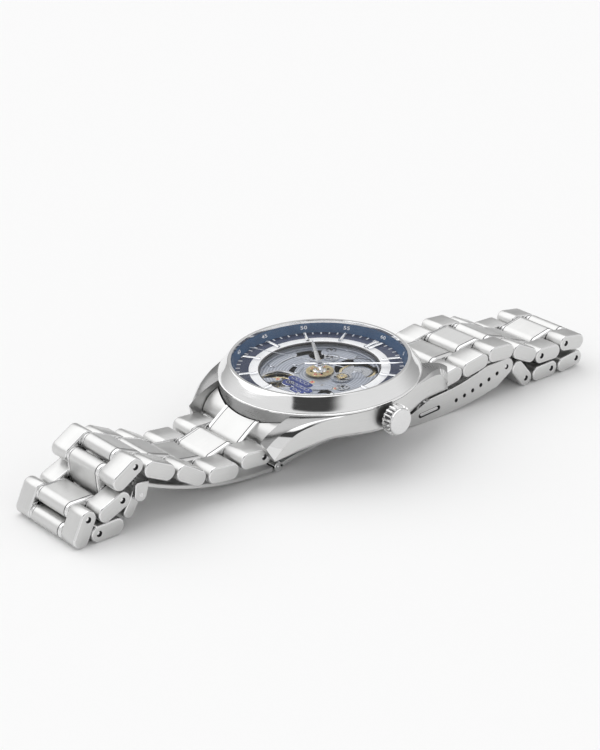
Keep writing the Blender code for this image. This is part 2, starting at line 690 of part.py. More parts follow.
def make_pusher(name, side):
    """Side button: a bar in the cover's slot, with a wider foot inside the wall."""
    wall = CLASP_HALF_WIDTH - COVER_WALL

    def bar(bm):
        low, high = sorted((side * (wall - 0.7), side * (CLASP_HALF_WIDTH - 0.1)))
        outline = arc(BUTTON_START, BUTTON_RADIUS, 90, 270, 4) + arc(BUTTON_END, BUTTON_RADIUS, -90, 90, 4)
        add_prism(bm, outline, low, high, "X")

    def foot(bm):
        low, high = sorted((side * (wall - 1.0), side * (wall - 0.12)))
        add_prism(bm, BUTTON_FOOT, low, high, "X")

    pusher = tools_object(name, bar, POLISHED, smooth=False)
    helper(name + "_foot", foot, pusher, "UNION")


def blade_strip(start, end, bulge):
    """A curved strip's outline: two arcs through the ends, one blade thickness apart."""
    (y0, z0), (y1, z1) = start, end
    chord = math.hypot(y1 - y0, z1 - z0)
    normal = ((z0 - z1) / chord, (y1 - y0) / chord)
    steps = 10
    middle = []
    for i in range(steps + 1):
        share = i / steps
        lift = bulge * 4.0 * share * (1.0 - share)
        y, z = y0 + (y1 - y0) * share, z0 + (z1 - z0) * share
        middle.append((y + normal[0] * lift, z + normal[1] * lift))
    half = BLADE_THICKNESS / 2.0
    upper = [(y + normal[0] * half, z + normal[1] * half) for y, z in middle]
    lower = [(y - normal[0] * half, z - normal[1] * half) for y, z in reversed(middle)]
    return upper + lower


def across_blade(outline):
    """A builder for an outline drawn across the blades' whole width."""
    return lambda bm: add_prism(bm, outline, -BLADE_HALF_WIDTH, BLADE_HALF_WIDTH, "X")


def make_outer_blade():
    """Blade between the cover and the middle hinge; its eyes are outside at the middle hinge."""
    strip = blade_strip(COVER_HINGE, MIDDLE_HINGE, OUTER_BLADE_BULGE)
    origin = (0.0, -COVER_HINGE[0], -COVER_HINGE[1])
    blade = tools_object("blade_outer", across_blade(strip), BRUSHED, None, (0.0, *COVER_HINGE), smooth=False)
    blade.data.transform(Matrix.Translation(Vector(origin) * MM))

    def eyes(bm):
        for place in (COVER_HINGE, MIDDLE_HINGE):
            add_cylinder(bm, KNUCKLE_RADIUS, -BLADE_HALF_WIDTH, BLADE_HALF_WIDTH, "X", place, 12)

    def gap(bm):
        reach = CENTRE_HALF_WIDTH + 0.1
        y, z = MIDDLE_HINGE
        box = [(y - 3, z - 4), (y + 1.6, z - 4), (y + 1.6, z + 4), (y - 3, z + 4)]
        add_prism(bm, box, -reach, reach, "X")

    def pin(bm):
        reach = BLADE_HALF_WIDTH - 0.3
        add_cylinder(bm, PIN_RADIUS, -reach, reach, "X", MIDDLE_HINGE)

    helper("outer_blade_eyes", eyes, blade, "UNION", origin)
    helper("outer_blade_gap", gap, blade, "DIFFERENCE", origin)
    helper("outer_blade_bore", lambda bm: add_cylinder(bm, PIN_HOLE_RADIUS, -FAR, FAR, "X", COVER_HINGE),
           blade, "DIFFERENCE", origin)
    helper("outer_blade_pin", pin, blade, "UNION", origin)


def make_inner_blade():
    """Blade between the middle hinge and the bracelet, with a bracket of two ears at its far end."""
    pin_y, pin_z = BRACKET_PIN
    strip = blade_strip(MIDDLE_HINGE, (pin_y - 0.6, pin_z + 2.25), INNER_BLADE_BULGE)
    origin = (0.0, -MIDDLE_HINGE[0], -MIDDLE_HINGE[1])
    blade = tools_object("blade_inner", across_blade(strip), BRUSHED, None, (0.0, *MIDDLE_HINGE), smooth=False)
    blade.data.transform(Matrix.Translation(Vector(origin) * MM))
    ear = [(pin_y + 1.9, pin_z + 2.25), (pin_y - 1.2, pin_z + 2.6)] + arc(BRACKET_PIN, EAR_RADIUS, 170, 360, 7)
    ear_inner = BLADE_HALF_WIDTH + EAR_GAP

    def bracket(bm):
        add_prism(bm, ear, ear_inner, CLASP_HALF_WIDTH, "X")
        add_prism(bm, ear, -CLASP_HALF_WIDTH, -ear_inner, "X")
        top = [(pin_y - 0.9, pin_z + 1.75), (pin_y + 1.3, pin_z + 1.55), (pin_y + 1.3, pin_z + 2.2),
               (pin_y - 0.9, pin_z + 2.5)]
        add_prism(bm, top, -CLASP_HALF_WIDTH + 0.1, CLASP_HALF_WIDTH - 0.1, "X")

    def sides_of_eye(bm):
        y, z = MIDDLE_HINGE
        for side in (1, -1):
            low, high = sorted((side * CENTRE_HALF_WIDTH, side * 12.0))
            box = [(y - 1.7, z - 4), (y + 3, z - 4), (y + 3, z + 4), (y - 1.7, z + 4)]
            add_prism(bm, box, low, high, "X")

    def eye(bm):
        add_cylinder(bm, KNUCKLE_RADIUS, -CENTRE_HALF_WIDTH, CENTRE_HALF_WIDTH, "X", MIDDLE_HINGE, 12)

    helper("inner_blade_eye", eye, blade, "UNION", origin)
    helper("inner_blade_eye_sides", sides_of_eye, blade, "DIFFERENCE", origin)
    helper("inner_blade_bore", lambda bm: add_cylinder(bm, PIN_HOLE_RADIUS, -FAR, FAR, "X", MIDDLE_HINGE),
           blade, "DIFFERENCE", origin)
    helper("inner_blade_bracket", bracket, blade, "UNION", origin, crossing=True)


def make_clasp_row():
    """The last row: a slim outer piece in the bracket and the centre piece that meets the bracelet."""
    turn = math.radians(CLASP_LINK_ANGLES[0])
    slim = link_outline(1.25, 1.3)
    outer_piece("clasp_end_outer", (0.0, *BRACKET_PIN), turn, BLADE_HALF_WIDTH + 0.25, False, slim)
    y = BRACKET_PIN[0] + LINK_SPACING * math.cos(turn)
    z = BRACKET_PIN[1] + LINK_SPACING * math.sin(turn)
    centre_piece("clasp_end_centre", (0.0, y, z), math.radians(CLASP_LINK_ANGLES[1]), (True, False))


def stand_on_origin():
    """Move the whole watch so that the origin is under the middle of its box, on the table."""
    bpy.context.view_layer.update()
    graph = bpy.context.evaluated_depsgraph_get()
    corners = []
    for made in WATCH.objects:
        if made.type != "MESH":
            continue
        shape = made.evaluated_get(graph)
        corners += [shape.matrix_world @ vertex.co for vertex in shape.data.vertices]
    low = Vector([min(c[i] for c in corners) for i in range(3)])
    high = Vector([max(c[i] for c in corners) for i in range(3)])
    shift = Vector(((low.x + high.x) / 2, (low.y + high.y) / 2, low.z))
    for made in WATCH.objects:
        if made.parent is None:
            made.location -= shift


def build():
    """Make every part of the watch."""
    make_case()
    make_bezel_and_glass()
    make_back()
    make_dial()
    make_hands()
    make_movement()
    make_emblem()
    make_crown()
    make_end_link("end_link_6", -1.0)
    make_end_link("end_link_12", 1.0)
    chain("six", head_to_world(-END_PIN_PLACE[0], END_PIN_PLACE[1]), SIX_SIDE_ANGLES, SIX_SIDE_HOLES, True)
    end_pin = chain("twelve", head_to_world(*END_PIN_PLACE), TWELVE_SIDE_ANGLES, TWELVE_SIDE_HOLES)
    make_cover(end_pin)
    make_pusher("pusher_3", 1.0)
    make_pusher("pusher_9", -1.0)
    make_outer_blade()
    make_inner_blade()
    make_clasp_row()
    stand_on_origin()


build()
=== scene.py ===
"""Looks of the skeleton wristwatch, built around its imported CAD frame.

Shapes are drawn in millimetres, each in its own space: the head's has the dial centre as its origin,
X to 3 o'clock, Y to 12 o'clock and Z out of the dial; a bracelet piece's starts on its first pin and
points along Y to its second. A space is a matrix in metres, worked out from the frame's joints.
"""
import json
from math import asin, atan2, copysign, cos, degrees, hypot, radians, sin, sqrt, tau

import bmesh
import bpy
from mathutils import Matrix, Vector

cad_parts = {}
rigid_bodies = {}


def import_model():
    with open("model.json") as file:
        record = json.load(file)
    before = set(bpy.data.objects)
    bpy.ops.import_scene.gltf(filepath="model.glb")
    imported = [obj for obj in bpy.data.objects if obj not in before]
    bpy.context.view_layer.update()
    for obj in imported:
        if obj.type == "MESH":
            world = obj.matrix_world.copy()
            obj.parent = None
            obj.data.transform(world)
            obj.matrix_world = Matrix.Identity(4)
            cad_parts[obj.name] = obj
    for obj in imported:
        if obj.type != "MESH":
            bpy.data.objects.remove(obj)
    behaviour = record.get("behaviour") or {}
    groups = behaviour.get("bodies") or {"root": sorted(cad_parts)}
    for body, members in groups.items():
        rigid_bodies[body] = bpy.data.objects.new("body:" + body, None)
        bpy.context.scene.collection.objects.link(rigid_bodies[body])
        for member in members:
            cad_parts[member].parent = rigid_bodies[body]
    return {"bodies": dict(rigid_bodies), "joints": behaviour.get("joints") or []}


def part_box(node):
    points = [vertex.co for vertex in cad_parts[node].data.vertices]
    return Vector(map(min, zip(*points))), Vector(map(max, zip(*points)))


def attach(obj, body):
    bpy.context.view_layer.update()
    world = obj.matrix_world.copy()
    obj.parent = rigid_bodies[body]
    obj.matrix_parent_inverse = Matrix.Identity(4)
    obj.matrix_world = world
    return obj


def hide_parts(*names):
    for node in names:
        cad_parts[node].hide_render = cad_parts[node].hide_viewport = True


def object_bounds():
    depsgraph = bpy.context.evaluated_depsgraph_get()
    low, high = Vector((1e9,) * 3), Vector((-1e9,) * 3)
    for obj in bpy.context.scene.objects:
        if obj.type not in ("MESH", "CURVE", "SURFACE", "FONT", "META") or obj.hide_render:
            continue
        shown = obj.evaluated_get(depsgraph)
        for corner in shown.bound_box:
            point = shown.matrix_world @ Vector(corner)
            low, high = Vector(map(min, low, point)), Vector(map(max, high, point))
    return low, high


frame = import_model()
CAD_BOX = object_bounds()

MM = 0.001
JOINTS = {joint["name"]: joint for joint in frame["joints"]}
BY_CHILD = {joint["child"]: joint for joint in frame["joints"]}

# bracelet
LINK_SPACING = 3.95
LINK_END_RADIUS = 1.75
LINK_HALF = 1.7
CENTRE_HALF_WIDTH = 5.1
PLATE_INNER = 5.22
PIN_HOLE = 0.6
LUG_HALF_WIDTH = 11.0
CLASP_HALF_WIDTH = 9.6
LINKS_TO_TAPER = 6.0
LAST_ROW_HALF_WIDTH = 8.45
LAST_ROW_SHAPE = {"end_radius": 1.3, "half": 1.25}
ROWS_WITH_HOLES = ("six_outer_1", "six_outer_5", "six_outer_6", "six_outer_7", "six_outer_8",
                   "twelve_outer_1", "twelve_outer_5", "twelve_outer_6", "twelve_outer_7",
                   "twelve_outer_8", "twelve_outer_9")

# head
BEZEL_FLANGE = 20.5
BEZEL_RIM = 18.45
GLASS_EDGE = 17.76
CASE_RADIUS = 20.6
LUG_INNER = 11.15
HOUR_ANGLE = 303.6
MINUTE_ANGLE = 43.5
SECOND_ANGLE = 249.0
BARREL_PLACE = (3.6, 7.0)
BALANCE_PLACE = (-3.6, -8.0)
MINUTE_WHEEL_PLACE = (4.9, 1.6)
EMBLEM_PLACE = (1.6, -7.2)
CROWN_HEIGHT = -5.0
DIAL_TOP = -1.5
BRIDGE_TOP = -2.8
MOVEMENT_RADIUS = 13.4
DIAL_ABOVE_TABLE = 16.53

# clasp, in table coordinates (y, z) from under the dial centre
WRIST_RADIUS = 80.0
COVER_LOW_Y = 23.0
COVER_HINGE = (14.0, 1.75)
COVER_PIN = (44.53, 6.18)
MIDDLE_HINGE = (-17.3, 1.2)
BRACKET_PIN = (-51.73, 6.69)
BLADE_HALF_WIDTH = 8.2
WALL_INNER = 8.62
KNUCKLE_GAP = 5.2

# studio
FLOOR_GAP = 0.02
WORLD_STRENGTH = 0.86
SUN_STRENGTH = 1.03
SUN_ANGLE = 84.0
SUN_AZIMUTH = -130.0
SUN_ELEVATION = 62.0

# camera, from the dial centre in millimetres
CAMERA_PLACE = (291.74, -256.13, 167.81)
CAMERA_AZIMUTH = 49.29
CAMERA_ELEVATION = 23.78
CAMERA_ROLL = 0.68
CAMERA_LENS = 100.98
CAMERA_SENSOR = 36.0


# ---------------------------------------------------------------- spaces

def head_space():
    """The head's own frame, from the axis of the hands."""
    joint = JOINTS["second_hand_turn"]
    z = -Vector(joint["axis"]).normalized()
    x = Vector((1.0, 0.0, 0.0))
    return space_of(Vector(joint["pos_m"]), x, z.cross(x))


def space_of(origin, x, y):
    """A matrix with its origin and X and Y directions."""
    z = x.cross(y)
    made = Matrix((x, y, z)).transposed().to_4x4()
    made.translation = origin
    return made


def link_space(node):
    """A bracelet piece's own frame: its box's middle lies half way between its two pins."""
    start = Vector(BY_CHILD[node]["pos_m"])
    low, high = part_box(node)
    middle = (low + high) / 2.0
    along = Vector((0.0, middle.y - start.y, middle.z - start.z)).normalized()
    return space_of(start, Vector((1.0, 0.0, 0.0)), along)


HEAD = head_space()
DIAL_CENTRE = HEAD.translation.copy()
TABLE = Matrix.Translation(DIAL_CENTRE - Vector((0.0, 0.0, DIAL_ABOVE_TABLE * MM)))


# ---------------------------------------------------------------- materials

class Nodes:
    """A short way to build the node tree of a new material or world."""

    def __init__(self, owner):
        self.owner = owner
        owner.use_nodes = True
        self.tree = owner.node_tree
        self.shader = self.tree.nodes.get("Principled BSDF")

    def add(self, kind, **values):
        """Add a node and set its properties."""
        node = self.tree.nodes.new(kind)
        for key, value in values.items():
            setattr(node, key, value)
        return node

    def put(self, value, socket):
        """Join an output to an input, or set the input's own value."""
        if isinstance(value, (float, tuple)):
            socket.default_value = value
        else:
            self.tree.links.new(value, socket)

    def shade(self, **values):
        """Set the shader's inputs, named with _ for each space."""
        for name, value in values.items():
            self.put(value, self.shader.inputs[name.replace("_", " ")])
        return self.owner

    def math(self, operation, *values):
        """The result of a sum on outputs and numbers."""
        node = self.add("ShaderNodeMath", operation=operation)
        for value, socket in zip(values, node.inputs):
            self.put(value, socket)
        return node.outputs[0]

    def coordinates(self, scale):
        """Object coordinates stretched by scale."""
        place = self.add("ShaderNodeTexCoord")
        mapping = self.add("ShaderNodeMapping")
        self.put(scale, mapping.inputs["Scale"])
        self.put(place.outputs["Object"], mapping.inputs["Vector"])
        return mapping.outputs["Vector"]

    def polar_coordinates(self, turns, rings):
        """Angle and radius about Z as X and Y, for circular and radial grain."""
        place = self.add("ShaderNodeTexCoord")
        split = self.add("ShaderNodeSeparateXYZ")
        self.put(place.outputs["Object"], split.inputs["Vector"])
        x, y, z = split.outputs
        flat = self.add("ShaderNodeCombineXYZ")
        self.put(x, flat.inputs["X"])
        self.put(y, flat.inputs["Y"])
        radius = self.add("ShaderNodeVectorMath", operation="LENGTH")
        self.put(flat.outputs["Vector"], radius.inputs[0])
        joined = self.add("ShaderNodeCombineXYZ")
        sources = ((self.math("ARCTAN2", y, x), turns), (radius.outputs["Value"], rings), (z, rings))
        for (source, factor), socket in zip(sources, joined.inputs):
            self.put(self.math("MULTIPLY", source, factor), socket)
        return joined.outputs["Vector"], radius.outputs["Value"]

    def noise(self, vector, detail, rough):
        """A noise texture's value."""
        texture = self.add("ShaderNodeTexNoise")
        for name, value in (("Scale", 1.0), ("Detail", detail), ("Roughness", rough), ("Vector", vector)):
            self.put(value, texture.inputs[name])
        return texture.outputs["Fac"]

    def ramp(self, value, low, high, into_low=0.0, into_high=1.0, kind="LINEAR"):
        """Map a value's range to another."""
        node = self.add("ShaderNodeMapRange", interpolation_type=kind)
        for name, number in (("Value", value), ("From Min", low), ("From Max", high), ("To Min", into_low),
                             ("To Max", into_high)):
            self.put(number, node.inputs[name])
        return node.outputs["Result"]

    def mix_colours(self, factor, first, second):
        """Blend two colours by a value."""
        node = self.add("ShaderNodeMix", data_type="RGBA")
        for name, value in (("A", (*first, 1.0)), ("B", (*second, 1.0)), ("Factor", factor)):
            self.put(value, node.inputs[name])
        return node.outputs["Result"]

    def bump(self, height, depth, normal=None):
        """Turn a height into a normal; depth is in millimetres."""
        node = self.add("ShaderNodeBump")
        self.put(1.0, node.inputs["Strength"])
        self.put(depth * MM, node.inputs["Distance"])
        self.put(height, node.inputs["Height"])
        if normal:
            self.put(normal, node.inputs["Normal"])
        return node.outputs["Normal"]


def new_material(name):
    """Nodes of a new material."""
    return Nodes(bpy.data.materials.new(name))


def metal(name, colour, roughness, grain, depth, polar=False, spread=0.12, tint=0.06):
    """Metal with a directed grain: grain scales the noise per metre, depth is the scratches' depth in mm."""
    made = new_material(name)
    vector = made.polar_coordinates(*grain)[0] if polar else made.coordinates(grain)
    lines = made.noise(vector, 2.0, 0.65)
    cloud = made.noise(made.coordinates((220.0,) * 3), 3.0, 0.6)
    dark = tuple(part * (1.0 - tint) for part in colour)
    scratched = made.ramp(lines, 0.3, 0.7, -spread / 2.0, spread / 2.0)
    worn = made.ramp(cloud, 0.35, 0.65, roughness * 0.9, roughness * 1.12)
    return made.shade(Base_Color=made.mix_colours(made.ramp(lines, 0.35, 0.65), dark, colour),
                      Roughness=made.math("ADD", scratched, worn), Normal=made.bump(lines, depth),
                      Metallic=1.0)


def paint(name, colour, second, roughness, coat=0.0):
    """Painted or lacquered metal with a fine speckle and soft variation."""
    made = new_material(name)
    speckle = made.noise(made.coordinates((7200.0,) * 3), 2.0, 0.7)
    cloud = made.noise(made.coordinates((270.0,) * 3), 2.0, 0.5)
    return made.shade(Base_Color=made.mix_colours(made.ramp(cloud, 0.35, 0.65), colour, second),
                      Roughness=made.ramp(speckle, 0.3, 0.7, roughness * 0.85, roughness * 1.15),
                      Normal=made.bump(speckle, 0.002), Coat_Weight=coat, Coat_Roughness=0.08)


def sunray(name, colour, second, roughness):
    """Dial metal brushed from its centre, which shows as rays."""
    made = new_material(name)
    rays = made.noise(made.polar_coordinates(60.0, 60.0)[0], 3.0, 0.7)
    return made.shade(Base_Color=made.mix_colours(made.ramp(rays, 0.35, 0.65), colour, second),
                      Roughness=made.ramp(rays, 0.3, 0.7, roughness * 0.8, roughness * 1.2),
                      Normal=made.bump(rays, 0.003), Metallic=0.35)


def striped(name, colour, second, roughness, pitch):
    """Movement plates with the broad concentric stripes of a finished bridge and fine circular grain."""
    made = new_material(name)
    vector, radius = made.polar_coordinates(3.0, 14000.0)
    fine = made.noise(vector, 2.0, 0.6)
    wave = made.math("SINE", made.math("MULTIPLY", radius, tau / (pitch * MM)))
    stripes = made.ramp(wave, -1.0, 1.0)
    return made.shade(Base_Color=made.mix_colours(stripes, colour, second),
                      Roughness=made.ramp(fine, 0.3, 0.7, roughness * 0.8, roughness * 1.25),
                      Normal=made.bump(fine, 0.004, made.bump(stripes, 0.008)), Metallic=0.5)


def clear_glass(name):
    """Sapphire: see-through, with a faint reflection that grows at grazing angles."""
    made = new_material(name)
    clear = made.add("ShaderNodeBsdfTransparent")
    gloss = made.add("ShaderNodeBsdfGlossy")
    edge = made.add("ShaderNodeLayerWeight")
    made.put(0.5, edge.inputs["Blend"])
    share = made.math("POWER", edge.outputs["Facing"], 5.0)
    smudge = made.noise(made.coordinates((120.0,) * 3), 3.0, 0.6)
    made.put(made.ramp(smudge, 0.3, 0.7, 0.01, 0.04), gloss.inputs["Roughness"])
    blend = made.add("ShaderNodeMixShader")
    sources = (made.ramp(share, 0.0, 1.0, 0.004, 0.5), clear.outputs[0], gloss.outputs[0])
    for source, socket in zip(sources, blend.inputs):
        made.put(source, socket)
    made.put(blend.outputs[0], made.tree.nodes["Material Output"].inputs["Surface"])
    made.tree.nodes.remove(made.shader)
    return made.owner


def jewel(name):
    """Synthetic ruby."""
    made = new_material(name)
    cloud = made.noise(made.coordinates((1500.0,) * 3), 2.0, 0.5)
    return made.shade(Base_Color=made.mix_colours(cloud, (0.45, 0.01, 0.05), (0.75, 0.03, 0.12)),
                      Roughness=made.ramp(cloud, 0.3, 0.7, 0.05, 0.14), Coat_Weight=0.6)


STEEL = (0.67, 0.67, 0.665)
FINE_BRUSH = {"depth": 0.0022, "spread": 0.06, "tint": 0.05}
BRUSHED = metal("link_brushed_steel", STEEL, 0.35, (9000.0, 260.0, 9000.0), **FINE_BRUSH)
BRUSHED_CASE = metal("case_brushed_steel", STEEL, 0.33, (260.0, 260.0, 9000.0), **FINE_BRUSH)
BRUSHED_CLASP = metal("clasp_brushed_steel", STEEL, 0.35, (9000.0, 200.0, 9000.0), **FINE_BRUSH)
POLISHED = metal("polished_steel", (0.76,) * 3, 0.07, (500.0,) * 3, 0.0006, spread=0.03, tint=0.02)
BEZEL_STEEL = metal("bezel_steel", (0.84,) * 3, 0.085, (6.0, 9000.0), 0.0008, polar=True, spread=0.05,
                    tint=0.03)
CROWN_STEEL = metal("crown_steel", (0.76,) * 3, 0.14, (3000.0,) * 3, 0.001, spread=0.06)
# Near-black steel that is painted shade: it darkens grooves, gaps, hole walls, cut walls and recesses where
# shade falls.
PAINTED_SHADE_STEEL = metal("painted_shade_steel", (0.10, 0.10, 0.105), 0.42, (4000.0,) * 3, 0.003)
GLASS = clear_glass("sapphire")
BLUE = paint("chapter_blue", (0.022, 0.075, 0.175), (0.032, 0.098, 0.215), 0.34, coat=0.15)
NAVY = sunray("dial_navy", (0.010, 0.020, 0.060), (0.020, 0.036, 0.095), 0.32)
SILVER_RING = paint("dial_white", (0.97, 0.97, 0.98), (0.93, 0.94, 0.96), 0.42)
PRINT = paint("white_print", (0.92, 0.93, 0.95), (0.85, 0.87, 0.90), 0.5)
BATON = metal("baton_steel", (0.90, 0.91, 0.93), 0.10, (6000.0,) * 3, 0.001, spread=0.04)
HAND = metal("hand_steel", (0.93, 0.94, 0.96), 0.12, (7000.0,) * 3, 0.001, spread=0.04)
RHODIUM = striped("striped_rhodium", (0.30, 0.33, 0.39), (0.52, 0.55, 0.62), 0.34, 0.62)
PLATE = metal("frosted_rhodium", (0.42, 0.44, 0.49), 0.40, (5000.0,) * 3, 0.006, spread=0.1, tint=0.2)
GOLD = metal("gilt_brass", (0.90, 0.76, 0.48), 0.26, (5.0, 9000.0), 0.002, polar=True)
PALE_GOLD = paint("pale_gilt", (0.60, 0.50, 0.28), (0.50, 0.40, 0.20), 0.38)
EMBLEM = paint("emblem_blue", (0.001, 0.022, 0.19), (0.002, 0.032, 0.26), 0.42)
EMBLEM_EDGE = metal("emblem_edge", (0.75, 0.78, 0.85), 0.15, (4000.0,) * 3, 0.001)
SATIN = metal("satin_steel", (0.36,) * 3, 0.30, (260.0, 260.0, 9000.0), 0.003)
NEEDLE = metal("needle_steel", (0.46, 0.48, 0.52), 0.30, (7000.0,) * 3, 0.001)
SCREW = metal("screw_steel", (0.72, 0.74, 0.78), 0.14, (5.0, 9000.0), 0.001, polar=True)
RUBY = jewel("ruby")


# ---------------------------------------------------------------- mesh tools

def add_object(name, data, space=None):
    """Put a new object in the scene."""
    made = bpy.data.objects.new(name, data)
    bpy.context.scene.collection.objects.link(made)
    if space:
        made.matrix_world = space
    return made


def evaluated_mesh(source):
    """A new mesh of an object as its modifiers leave it."""
    bpy.context.view_layer.update()
    graph = bpy.context.evaluated_depsgraph_get()
    return bpy.data.meshes.new_from_object(source.evaluated_get(graph), depsgraph=graph)


def make_piece(name, bm, finishes, node=None, body="head", space=None, sharp=32.0, weld=True):
    """Turn a millimetre bmesh into a piece that rides on a body and may replace that body's CAD node."""
    if weld:
        bmesh.ops.remove_doubles(bm, verts=bm.verts, dist=0.0005)
    bmesh.ops.recalc_face_normals(bm, faces=bm.faces)
    mesh = bpy.data.meshes.new(name)
    bm.to_mesh(mesh)
    bm.free()
    mesh.transform(Matrix.Scale(MM, 4))
    for finish in finishes:
        mesh.materials.append(finish)
    mesh.shade_smooth()
    if sharp is not None:
        mesh.set_sharp_from_angle(angle=radians(sharp))
    piece = add_object(name, mesh, space or HEAD)
    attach(piece, body)
    if node:
        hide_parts(node)
    return piece


def loft(bm, loops, bands=0, start_cap=None, end_cap=None):
    """Join closed loops of points with quads. bands is one material index or one for each gap."""
    rings = [[bm.verts.new(point) for point in loop] for loop in loops]
    count = len(rings[0])
    for index, (first, second) in enumerate(zip(rings, rings[1:])):
        for k in range(count):
            after = (k + 1) % count
            face = bm.faces.new((first[k], first[after], second[after], second[k]))
            face.material_index = bands if isinstance(bands, int) else bands[index]
    if start_cap is not None:
        bm.faces.new(rings[0][::-1]).material_index = start_cap
    if end_cap is not None:
        bm.faces.new(rings[-1]).material_index = end_cap
    return rings


def revolve(bm, profile, segments=128, bands=0, centre=(0.0, 0.0), closed=True):
    """Turn a profile of (radius, z) a full turn about an upright axis."""
    around = [(cos(tau * k / segments), sin(tau * k / segments)) for k in range(segments)]
    loops = [[(centre[0] + radius * a, centre[1] + radius * b, z) for a, b in around]
             for radius, z in profile + ([profile[0]] if closed else [])]
    loft(bm, loops, bands)


def arc(centre, radius, start, end, steps):
    """Points on a circle between two angles in degrees, both ends included."""
    angles = [radians(start + (end - start) * k / steps) for k in range(steps + 1)]
    return [(centre[0] + radius * cos(a), centre[1] + radius * sin(a)) for a in angles]


def inset_outline(outline, amount):
    """Move a closed outline's points inward along their mean normals."""
    count = len(outline)
    area = sum(outline[k - 1][0] * outline[k][1] - outline[k][0] * outline[k - 1][1] for k in range(count))
    side = 1.0 if area > 0 else -1.0
    moved = []
    for k, (a, b) in enumerate(outline):
        before, after = Vector(outline[k - 1]), Vector(outline[(k + 1) % count])
        here = Vector((a, b))
        first, second = (here - before), (after - here)
        if first.length < 1e-6 or second.length < 1e-6:
            moved.append((a, b))
            continue
        first.normalize()
        second.normalize()
        normal = Vector((-first.y - second.y, first.x + second.x))
        if normal.length < 1e-6:
            moved.append((a, b))
            continue
        normal.normalize()
        stretch = 1.0 / max(0.4, normal.dot(Vector((-first.y, first.x))))
        moved.append((a + side * normal.x * amount * stretch, b + side * normal.y * amount * stretch))
    return moved


def plate(bm, outline, low, high, chamfer=0.06, side=0, face=0, axis="Z"):
    """A flat piece with chamfered edges. Its outline is in the plane across the axis."""
    inner = inset_outline(outline, chamfer)

    def lift(points, level):
        if axis == "X":
            return [(level, a, b) for a, b in points]
        return [(a, b, level) for a, b in points]

    loops = [lift(inner, low), lift(outline, low + chamfer), lift(outline, high - chamfer), lift(inner, high)]
    loft(bm, loops, side, face, face)


def cylinder(bm, centre, radius, low, high, chamfer=0.05, segments=32, side=0, face=0, axis="Z"):
    """A chamfered disc or pin."""
    plate(bm, arc(centre, radius, 0, 360.0 - 360.0 / segments, segments - 1), low, high, chamfer, side, face,
          axis=axis)


def drawn(draw, *shape, **options):
    """A new bmesh with one shape, drawn by one of the mesh tools."""
    bm = bmesh.new()
    draw(bm, *shape, **options)
    return bm


def carve(piece, cutters):
    """Cut a piece with bmeshes drawn in its own millimetre space. The cut walls take the painted-shade steel,
    so each hole, notch and slot is painted dark as shade.
    """
    tools = []
    for index, bm in enumerate(cutters):
        bmesh.ops.recalc_face_normals(bm, faces=bm.faces)
        mesh = bpy.data.meshes.new(f"{piece.name}_cut_{index}")
        bm.to_mesh(mesh)
        bm.free()
        mesh.transform(Matrix.Scale(MM, 4))
        # the cutters carry the painted-shade steel onto the walls they cut: painted shade
        mesh.materials.append(PAINTED_SHADE_STEEL)
        tools.append(add_object(mesh.name, mesh, piece.matrix_world))
        step = piece.modifiers.new(mesh.name, "BOOLEAN")
        step.operation = "DIFFERENCE"
        step.solver = "EXACT"
        step.material_mode = "TRANSFER"
        step.object = tools[-1]
    result = evaluated_mesh(piece)
    piece.modifiers.clear()
    piece.data = result
    for tool in tools:
        bpy.data.objects.remove(tool, do_unlink=True)


def soften(piece, width):
    """Round a piece's sharp edges."""
    step = piece.modifiers.new("edges", "BEVEL")
    step.width = width * MM
    step.segments = 2
    step.limit_method = "ANGLE"
    step.angle_limit = radians(30.0)
    step.harden_normals = True
    step.miter_outer = "MITER_ARC"


def polar(radius, clock_degrees):
    """A dial point at an angle measured clockwise from 12 o'clock."""
    angle = radians(clock_degrees)
    return radius * sin(angle), radius * cos(angle)


# ---------------------------------------------------------------- bracelet

def link_loop(x, inset, end_radius=LINK_END_RADIUS, half=LINK_HALF):
    """The outline of a bracelet piece at one station across its width, drawn in by inset."""
    points = arc((LINK_SPACING, 0.0), end_radius - inset, -90, 90, 14)
    points += arc((0.0, 0.0), end_radius - inset, 90, 270, 14)
    limit = half - inset
    return [(x, y, max(-limit, min(limit, z))) for y, z in points]


def make_centre(node):
    """A centre piece: brushed middle, a groove and a polished strip at each side; the groove is painted dark
    as shade.
    """
    bm = bmesh.new()
    stations = [(0.0, 0.32), (0.07, 0.13), (0.22, 0.03), (0.78, 0.0), (0.86, 0.14), (0.94, 0.14), (1.02, 0.0)]
    # the groove bands take the painted-shade steel: shade painted into the groove
    polished, brushed, groove = 1, 0, 2
    bands = [polished, polished, polished, polished, groove, groove]
    full = [(x - CENTRE_HALF_WIDTH, inset) for x, inset in stations]
    full += [(-x, inset) for x, inset in reversed(full)]
    all_bands = bands + [brushed] + bands[::-1]
    loft(bm, [link_loop(x, inset) for x, inset in full], all_bands, polished, polished)
    make_piece(node + "_block", bm, LINK_FINISHES_AND_SHADE, node, body=node, space=link_space(node),
               sharp=40.0)


